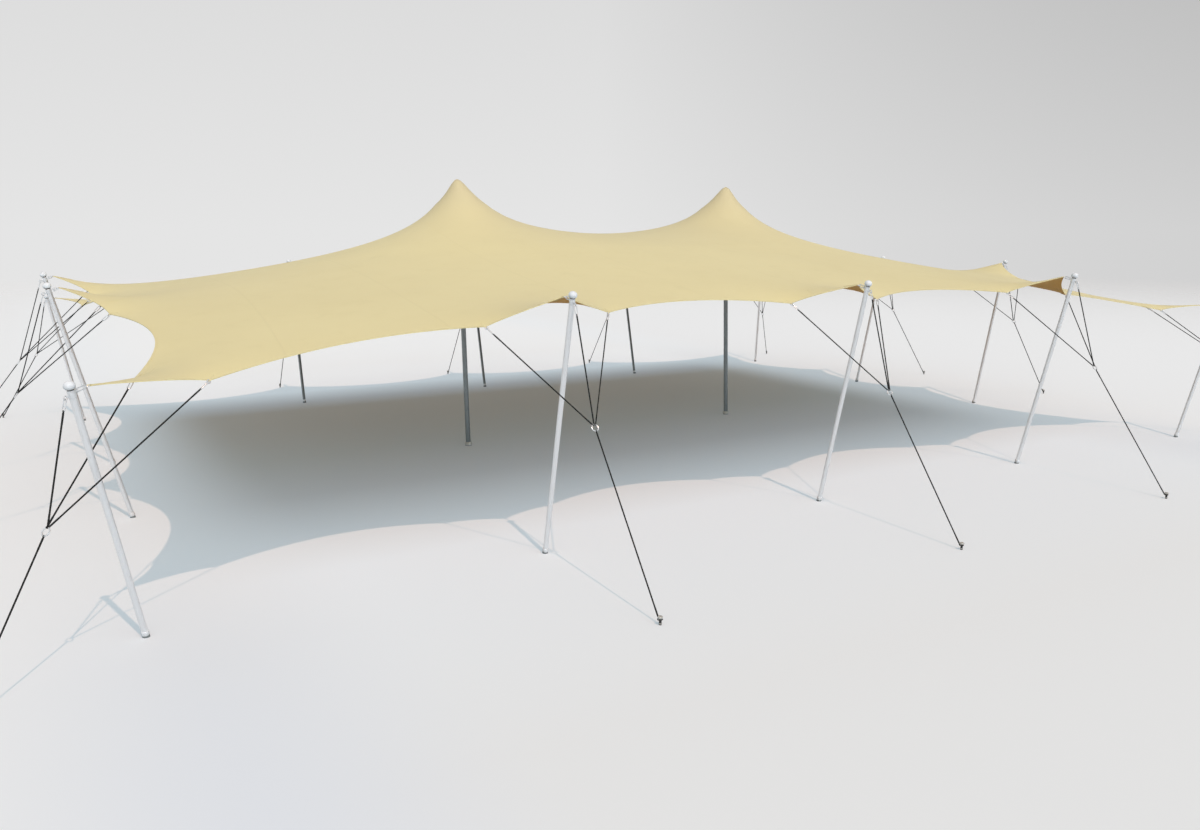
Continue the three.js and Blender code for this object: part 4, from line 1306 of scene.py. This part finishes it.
def tab_path(form, fastening):
    """A webbing tab: from the top of the sheet round the bar of the eye and back underneath."""
    bar = fastening.eye - fastening.pull * EYE_RADIUS * EYE_FLATNESS
    radius = EYE_WIRE + TAB_THICKNESS / 2
    lift = SHEET_THICKNESS / 2 + TAPE_THICKNESS + TAB_THICKNESS / 2
    inward = np.array(fastening.inward) / np.linalg.norm(fastening.inward)
    flat = np.array(fastening.flat) + inward * np.linspace(*TAB_FLAT, TAB_STEPS.flat)[:, None]
    points, normals = on_canopy(form, flat)
    over = fastening.pull.cross(fastening.hem_along).normalized()
    if over.dot(Vector(normals[-1])) < 0:
        over.negate()
    top = [Vector(point) for point in points + normals * lift]
    fold = []
    for turn in np.linspace(math.pi / 2, -math.pi / 2, TAB_STEPS.fold):
        fold.append(bar + (fastening.pull * math.cos(turn) + over * math.sin(turn)) * radius)
    bottom = [Vector(point) for point in (points - normals * lift)[::-1]]
    path = top + fold + bottom
    return path, [fastening.hem_along] * len(path), False


def build_eyes(form, stations, finishes, wire, webbing):
    """The steel eyes along the canopy's edge, and the webbing tabs that hold them."""
    rings = []
    tabs = []
    for station in stations:
        for fastening in (station.tip, *station.hem_eyes):
            rings.append(circle_path(fastening.eye, fastening.pull, fastening.hem_along, EYE_RADIUS,
                                     flat=EYE_FLATNESS))
            tabs.append(tab_path(form, fastening))
    steel = follow_paths("canopy_eyes", wire, rings, Thickness=2 * EYE_WIRE, Finish=finishes.steel)
    woven = follow_paths("canopy_tabs", webbing, tabs, Width=TAB_WIDTH, Thickness=TAB_THICKNESS,
                         Finish=finishes.tab)
    return [set_piece("canopy_eyes", steel, ["canopy"]),
            set_piece("canopy_tabs", woven, ["canopy"])]


# Poles and stakes

def build_centre_pole(name, side, finishes):
    """Two tubes with a groove between them, a foot on its pad, and a round head."""
    node = f"centre_pole_{name}"
    lean = math.atan2(CENTRE_POLE_HEAD_Y, PEAK_HEIGHT)
    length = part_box(node)[1][2] / math.cos(lean)
    matrix = axis_frame((side * CENTRE_POLE_X, 0, 0), (0, math.sin(lean), math.cos(lean)), (1, 0, 0))
    ball = length - CENTRE_POLE_RADIUS
    joint = CENTRE_JOINT
    groove = CENTRE_POLE_RADIUS - joint.groove_depth
    upper = CENTRE_POLE_RADIUS - joint.upper_step
    tube = capped([(CENTRE_POLE_RADIUS, TUBE_START), (CENTRE_POLE_RADIUS, joint.height),
                   (groove, joint.height + joint.groove_start),
                   (groove, joint.height + joint.groove_end),
                   (upper, joint.height + joint.upper_start), (upper, ball - CENTRE_HEAD.tube_drop)])
    shoe = CENTRE_FOOT
    foot = capped([(shoe.radius, CENTRE_PAD.height), (shoe.radius, shoe.height - shoe.bevel_height),
                   (shoe.radius - shoe.bevel_width, shoe.height),
                   (shoe.top_radius, shoe.height + shoe.top_rise)])
    pad = capped([(CENTRE_PAD.radius, -UNDERCUT), (CENTRE_PAD.radius, CENTRE_PAD.height)])
    head = [(0, ball - CENTRE_HEAD.skirt_foot_drop),
            (CENTRE_HEAD.skirt_radius, ball - CENTRE_HEAD.skirt_foot_drop),
            (CENTRE_HEAD.skirt_radius, ball - CENTRE_HEAD.skirt_top_drop),
            *dome(CENTRE_POLE_RADIUS, CENTRE_HEAD.rise, ball, start=0, steps=9)]
    # The tube takes the dark finish that paints the canopy's shade on it.
    for part, profile, finish in (("tube", tube, finishes.shaded_tube), ("foot", foot, finishes.cast),
                                  ("pad", pad, finishes.rubber), ("head", head, finishes.nylon)):
        bake_turned(f"{node}_{part}", [(profile, SIDES.centre_pole)], matrix, finish,
                    node, ground=part == "pad")


def build_edge_pole(station, finishes, wire):
    """A leaning tube with its cap, neck, foot sleeve and rubber, and the fittings of its head."""
    matrix = axis_frame(station.foot, station.up, station.across)
    length = (station.head - station.foot).length
    neck_top = length - CAP_NECK_DROP
    neck_foot = neck_top - NECK_LENGTH
    node = f"pole_{station.name}"
    tube = capped([(POLE_RADIUS, TUBE_START), (POLE_RADIUS, neck_foot)])
    # The back row's tubes are painted dark, as shade.
    finish = finishes.shaded_tube if station.name in SHADED_BACK_POLES else finishes.tube
    bake_turned(node + "_tube", [(tube, SIDES.tube)], matrix, finish, node)
    nylon = [(cap_profile(length), SIDES.pole_ends), (sleeve_profile(), SIDES.pole_ends)]
    bake_turned(node + "_cap_and_sleeve", nylon, matrix, finishes.nylon, node)
    # The neck takes the black iron finish: painted shade under the cap.
    neck = capped([(NECK_RADIUS, neck_foot), (NECK_RADIUS, neck_top)])
    bake_turned(node + "_neck", [(neck, SIDES.neck)], matrix, finishes.iron, node)
    rubber = capped([(RUBBER_RADIUS, -UNDERCUT), (RUBBER_RADIUS, SLEEVE.bottom),
                     (RUBBER_RADIUS - RUBBER_BEVEL, SLEEVE.bottom + RUBBER_BEVEL)])
    bake_turned(node + "_rubber", [(rubber, SIDES.pole_ends)], matrix, finishes.rubber, node,
                ground=True)
    build_head_fittings(station, node, matrix, length, finishes, wire)


def cap_profile(length):
    """The flattened ball round the pole's head, cut flat at its neck, with its edge rounded."""
    cut = CAP_NECK_DROP / CAP_RISE
    rim = CAP_RADIUS * math.sqrt(1 - cut ** 2)
    rim_latitude = -math.degrees(math.asin(cut))
    neck_top = length - CAP_NECK_DROP
    return [(0, neck_top), (rim - CAP_EDGE.inset, neck_top),
            *dome(CAP_RADIUS, CAP_RISE, length, start=rim_latitude + CAP_EDGE.latitude, steps=13)]


def sleeve_profile():
    bevel = SLEEVE.bevel
    return capped([(SLEEVE.radius - bevel / 4, SLEEVE.bottom + bevel / 2),
                   (SLEEVE.radius, SLEEVE.bottom + bevel), (SLEEVE.radius, SLEEVE.top - bevel),
                   (SLEEVE.radius - bevel / 2, SLEEVE.top - bevel / 4), (POLE_RADIUS, SLEEVE.top)])


def build_head_fittings(station, node, matrix, length, finishes, wire):
    """Collar, lugs, eye, shackle with its pin, and the spring button that sets the height."""
    tip = station.tip
    pin_along = tip.pull.cross(station.sideways).normalized()
    fittings = Shape()
    add_collar(fittings, station, matrix, length)
    add_button(fittings, station)
    add_pin(fittings, station, pin_along)
    bow_end = tip.eye + tip.pull * (EYE_RADIUS - EYE_WIRE - LINK_WIRE)
    bow = shackle_path(station.shackle_root, bow_end, pin_along)
    head_pull = (station.ring - station.head_eye).normalized()
    eye = circle_path(station.head_eye, head_pull, station.up, EYE_RADIUS)
    bent = follow_paths(node + "_wires", wire, [eye], Thickness=2 * EYE_WIRE, Finish=finishes.steel)
    bowed = follow_paths(node + "_bow", wire, [bow], Thickness=2 * LINK_WIRE, Finish=finishes.steel)
    bake_piece(node + "_fittings", fittings, [finishes.steel], [node])
    set_piece(node + "_eye_and_shackle", merge_meshes(node + "_eye_and_shackle", [bent, bowed]),
              [node])


def add_collar(shape, station, matrix, length):
    """The collar round the tube, with the eye's lug on one side and the shackle's on the other."""
    up = station.up
    across = station.across
    bottom = length - COLLAR.bottom_drop
    top = length - COLLAR.top_drop
    turn_profile(shape, capped([
        (POLE_RADIUS, bottom), (COLLAR.radius, bottom + COLLAR.bevel),
        (COLLAR.radius, top - COLLAR.bevel), (POLE_RADIUS, top)]), matrix, SIDES.tube)
    eye_lug = flat_frame(station.head - up * HEAD_EYE_DROP, across, up)
    add_lug(shape, eye_lug, POLE_RADIUS - SUNK, HEAD_EYE_REACH - EYE_RADIUS + LUG_WIDTH / 4)
    shackle_lug = flat_frame(station.head - up * SHACKLE_DROP, -across, station.sideways)
    add_lug(shape, shackle_lug, POLE_RADIUS - SUNK, SHACKLE_REACH + LUG_WIDTH / 2)


def add_button(shape, station):
    up = station.up
    across = station.across
    place = axis_frame(station.head - up * BUTTON.drop + across * (POLE_RADIUS - SUNK), across, up)
    profile = [(0, 0), (BUTTON.radius, 0),
               *dome(BUTTON.radius, BUTTON.rise, BUTTON.rim, start=0, steps=4)]
    turn_profile(shape, profile, place, SIDES.small)


def add_pin(shape, station, pin_along):
    """The shackle's pin, with its head, through the lug and both legs of the bow."""
    start = station.shackle_root - pin_along * (LINK_RADIUS + PIN.near_end)
    length = 2 * LINK_RADIUS + PIN.near_end + PIN.far_end
    place = axis_frame(start, pin_along, station.tip.pull)
    turn_profile(shape, capped([
        (PIN.head_radius, 0.0), (PIN.head_radius, PIN.head_length), (PIN.radius, PIN.head_length),
        (PIN.radius, length)]), place, SIDES.small)


def shackle_path(root, end, pin_along, steps=13):
    """The bow of a shackle: two legs from the pin and a half turn through the canopy's eye."""
    along = (root - end).normalized()
    centre = end + along * LINK_RADIUS
    points = [root + pin_along * LINK_RADIUS]
    for turn in np.linspace(math.pi / 2, -math.pi / 2, steps):
        points.append(centre + (pin_along * math.sin(turn) - along * math.cos(turn)) * LINK_RADIUS)
    points.append(root - pin_along * LINK_RADIUS)
    return points, [along.cross(pin_along)] * len(points), False


def build_stake(station, finishes):
    """A dark shaft, and its broad head and low ring in another finish."""
    matrix = axis_frame(station.stake, UP, station.outward)
    node = f"stake_{station.name}"
    shaft = capped([(STAKE_RADIUS, 0.0), (STAKE_RADIUS, STAKE_HEAD_FOOT)])
    bake_turned(node + "_shaft", [(shaft, SIDES.shaft)], matrix, finishes.iron, node)
    head = [(capped(STAKE_HEAD_PROFILE), SIDES.tube), (capped(STAKE_RING_PROFILE), SIDES.shaft)]
    bake_turned(node + "_head", head, matrix, finishes.cast, node)


# Guy sets

def loop_path(wire_centre, inward, beside, wire_radius, steps=11):
    """A narrow end of webbing that comes out of a strap, goes round a wire and back in."""
    off = Vector(beside).cross(inward).normalized()
    radius = wire_radius + LOOP_THICKNESS / 2
    tail = (STRAP_THICKNESS - LOOP_THICKNESS) / 2 - LOOP_BITE
    side = [wire_centre + inward * 2 * STRAP_START + off * tail,
            wire_centre + inward * STRAP_START + off * tail]
    points = list(side)
    for turn in np.linspace(*LOOP_BEND, steps):
        points.append(wire_centre + (inward * math.cos(turn) + off * math.sin(turn)) * radius)
    points += [point - off * 2 * tail for point in reversed(side)]
    return points, [Vector(beside)] * len(points), False


def straight_path(start, end, beside, steps=2):
    points = [start.lerp(end, k / (steps - 1)) for k in range(steps)]
    return points, [Vector(beside)] * steps, False


def build_straps(name, spans, beside, finishes, webbing):
    """Straps pulled straight, each given as (start, radius of its wire, end, radius of its wire)."""
    bodies = []
    cuffs = []
    loops = []
    for start, start_wire, end, end_wire in spans:
        along = (end - start).normalized()
        bodies.append(straight_path(start + along * STRAP_START, end - along * STRAP_START, beside,
                                    steps=9))
        for wire_centre, inward, wire_radius in ((start, along, start_wire), (end, -along, end_wire)):
            cuffs.append(straight_path(wire_centre + inward * CUFF_START,
                                       wire_centre + inward * CUFF_END, beside))
            loops.append(loop_path(wire_centre, inward, beside, wire_radius))
    made = []
    for paths, width, thickness in (
            (bodies, STRAP_WIDTH, STRAP_THICKNESS),
            (cuffs, STRAP_WIDTH + CUFF_GROWTH, STRAP_THICKNESS + CUFF_GROWTH),
            (loops, LOOP_WIDTH, LOOP_THICKNESS)):
        made.append(follow_paths(f"{name}_{len(made)}", webbing, paths, Width=width,
                                 Thickness=thickness, Finish=finishes.webbing))
    return merge_meshes(name, made)


def build_guy(station, finishes, wire, webbing):
    """The ring, its straps and links to the pole head and the two edge eyes, and the strap down to
    the loop round the stake."""
    node = f"guy_{station.name}"
    ring = station.ring
    sideways = station.sideways
    loop_slack = STAKE_LOOP_RADIUS - LINK_WIRE - STAKE_RADIUS - STAKE_LOOP_GAP
    loop_centre = station.stake + UP * STAKE_LOOP_HEIGHT - station.outward * loop_slack
    loop_start = loop_centre - station.outward * STAKE_LOOP_RADIUS
    ring_pull = (loop_start - ring).normalized()
    ring_plane = ring_pull.cross(sideways).normalized()

    def ring_wire_toward(target):
        toward = target - ring
        toward -= ring_plane * toward.dot(ring_plane)
        return ring + toward.normalized() * RING_RADIUS

    pulls = [(station.head_eye, (ring - station.head_eye).normalized(), sideways)]
    pulls += [(eye.eye, eye.pull, eye.pull.cross(eye.hem_along)) for eye in station.hem_eyes]
    links = []
    spans = [(ring_wire_toward(loop_start), RING_WIRE, loop_start, LINK_WIRE)]
    for centre, pull, beside in pulls:
        bearing = centre + pull * (EYE_RADIUS - EYE_WIRE - LINK_WIRE)
        link_end = bearing + pull * (LINK_LENGTH - 2 * LINK_WIRE)
        links.append(link_path(bearing, link_end, beside, LINK_RADIUS))
        spans.append((ring_wire_toward(link_end), RING_WIRE, link_end, LINK_WIRE))
    slim = follow_paths(node + "_links", wire, links, Thickness=2 * LINK_WIRE, Finish=finishes.steel)
    hoop = [circle_path(ring, ring_pull, sideways, RING_RADIUS, steps=40)]
    thick = follow_paths(node + "_ring", wire, hoop, Thickness=2 * RING_WIRE, Finish=finishes.steel)
    loop = [circle_path(loop_centre, station.outward, sideways, STAKE_LOOP_RADIUS)]
    dark = follow_paths(node + "_loop", wire, loop, Thickness=2 * LINK_WIRE, Finish=finishes.iron)
    set_piece(node + "_loop", dark, [node])
    set_piece(node + "_steel", merge_meshes(node + "_steel", [slim, thick]), [node])
    woven = build_straps(node + "_straps", spans, sideways, finishes, webbing)
    set_piece(node + "_straps", woven, [node])


place_camera()
light_scene()
lay_floor()
finishes = make_finishes()
stations = make_stations()
form = find_canopy_form(stations)
wire = sweep_tree("wire_along_path", round_section)
webbing = sweep_tree("webbing_along_path", flat_section)
sheet = build_sheet(form, finishes)
sewn = [build_hem(form, finishes), build_patches(form, stations, finishes),
        build_backing(form, finishes), build_stitching(form, finishes, stitch_tree()),
        *build_eyes(form, stations, finishes, wire, webbing)]
for name, side in (("left", -1), ("right", 1)):
    build_centre_pole(name, side, finishes)
for station in stations:
    build_edge_pole(station, finishes, wire)
    build_stake(station, finishes)
    build_guy(station, finishes, wire, webbing)
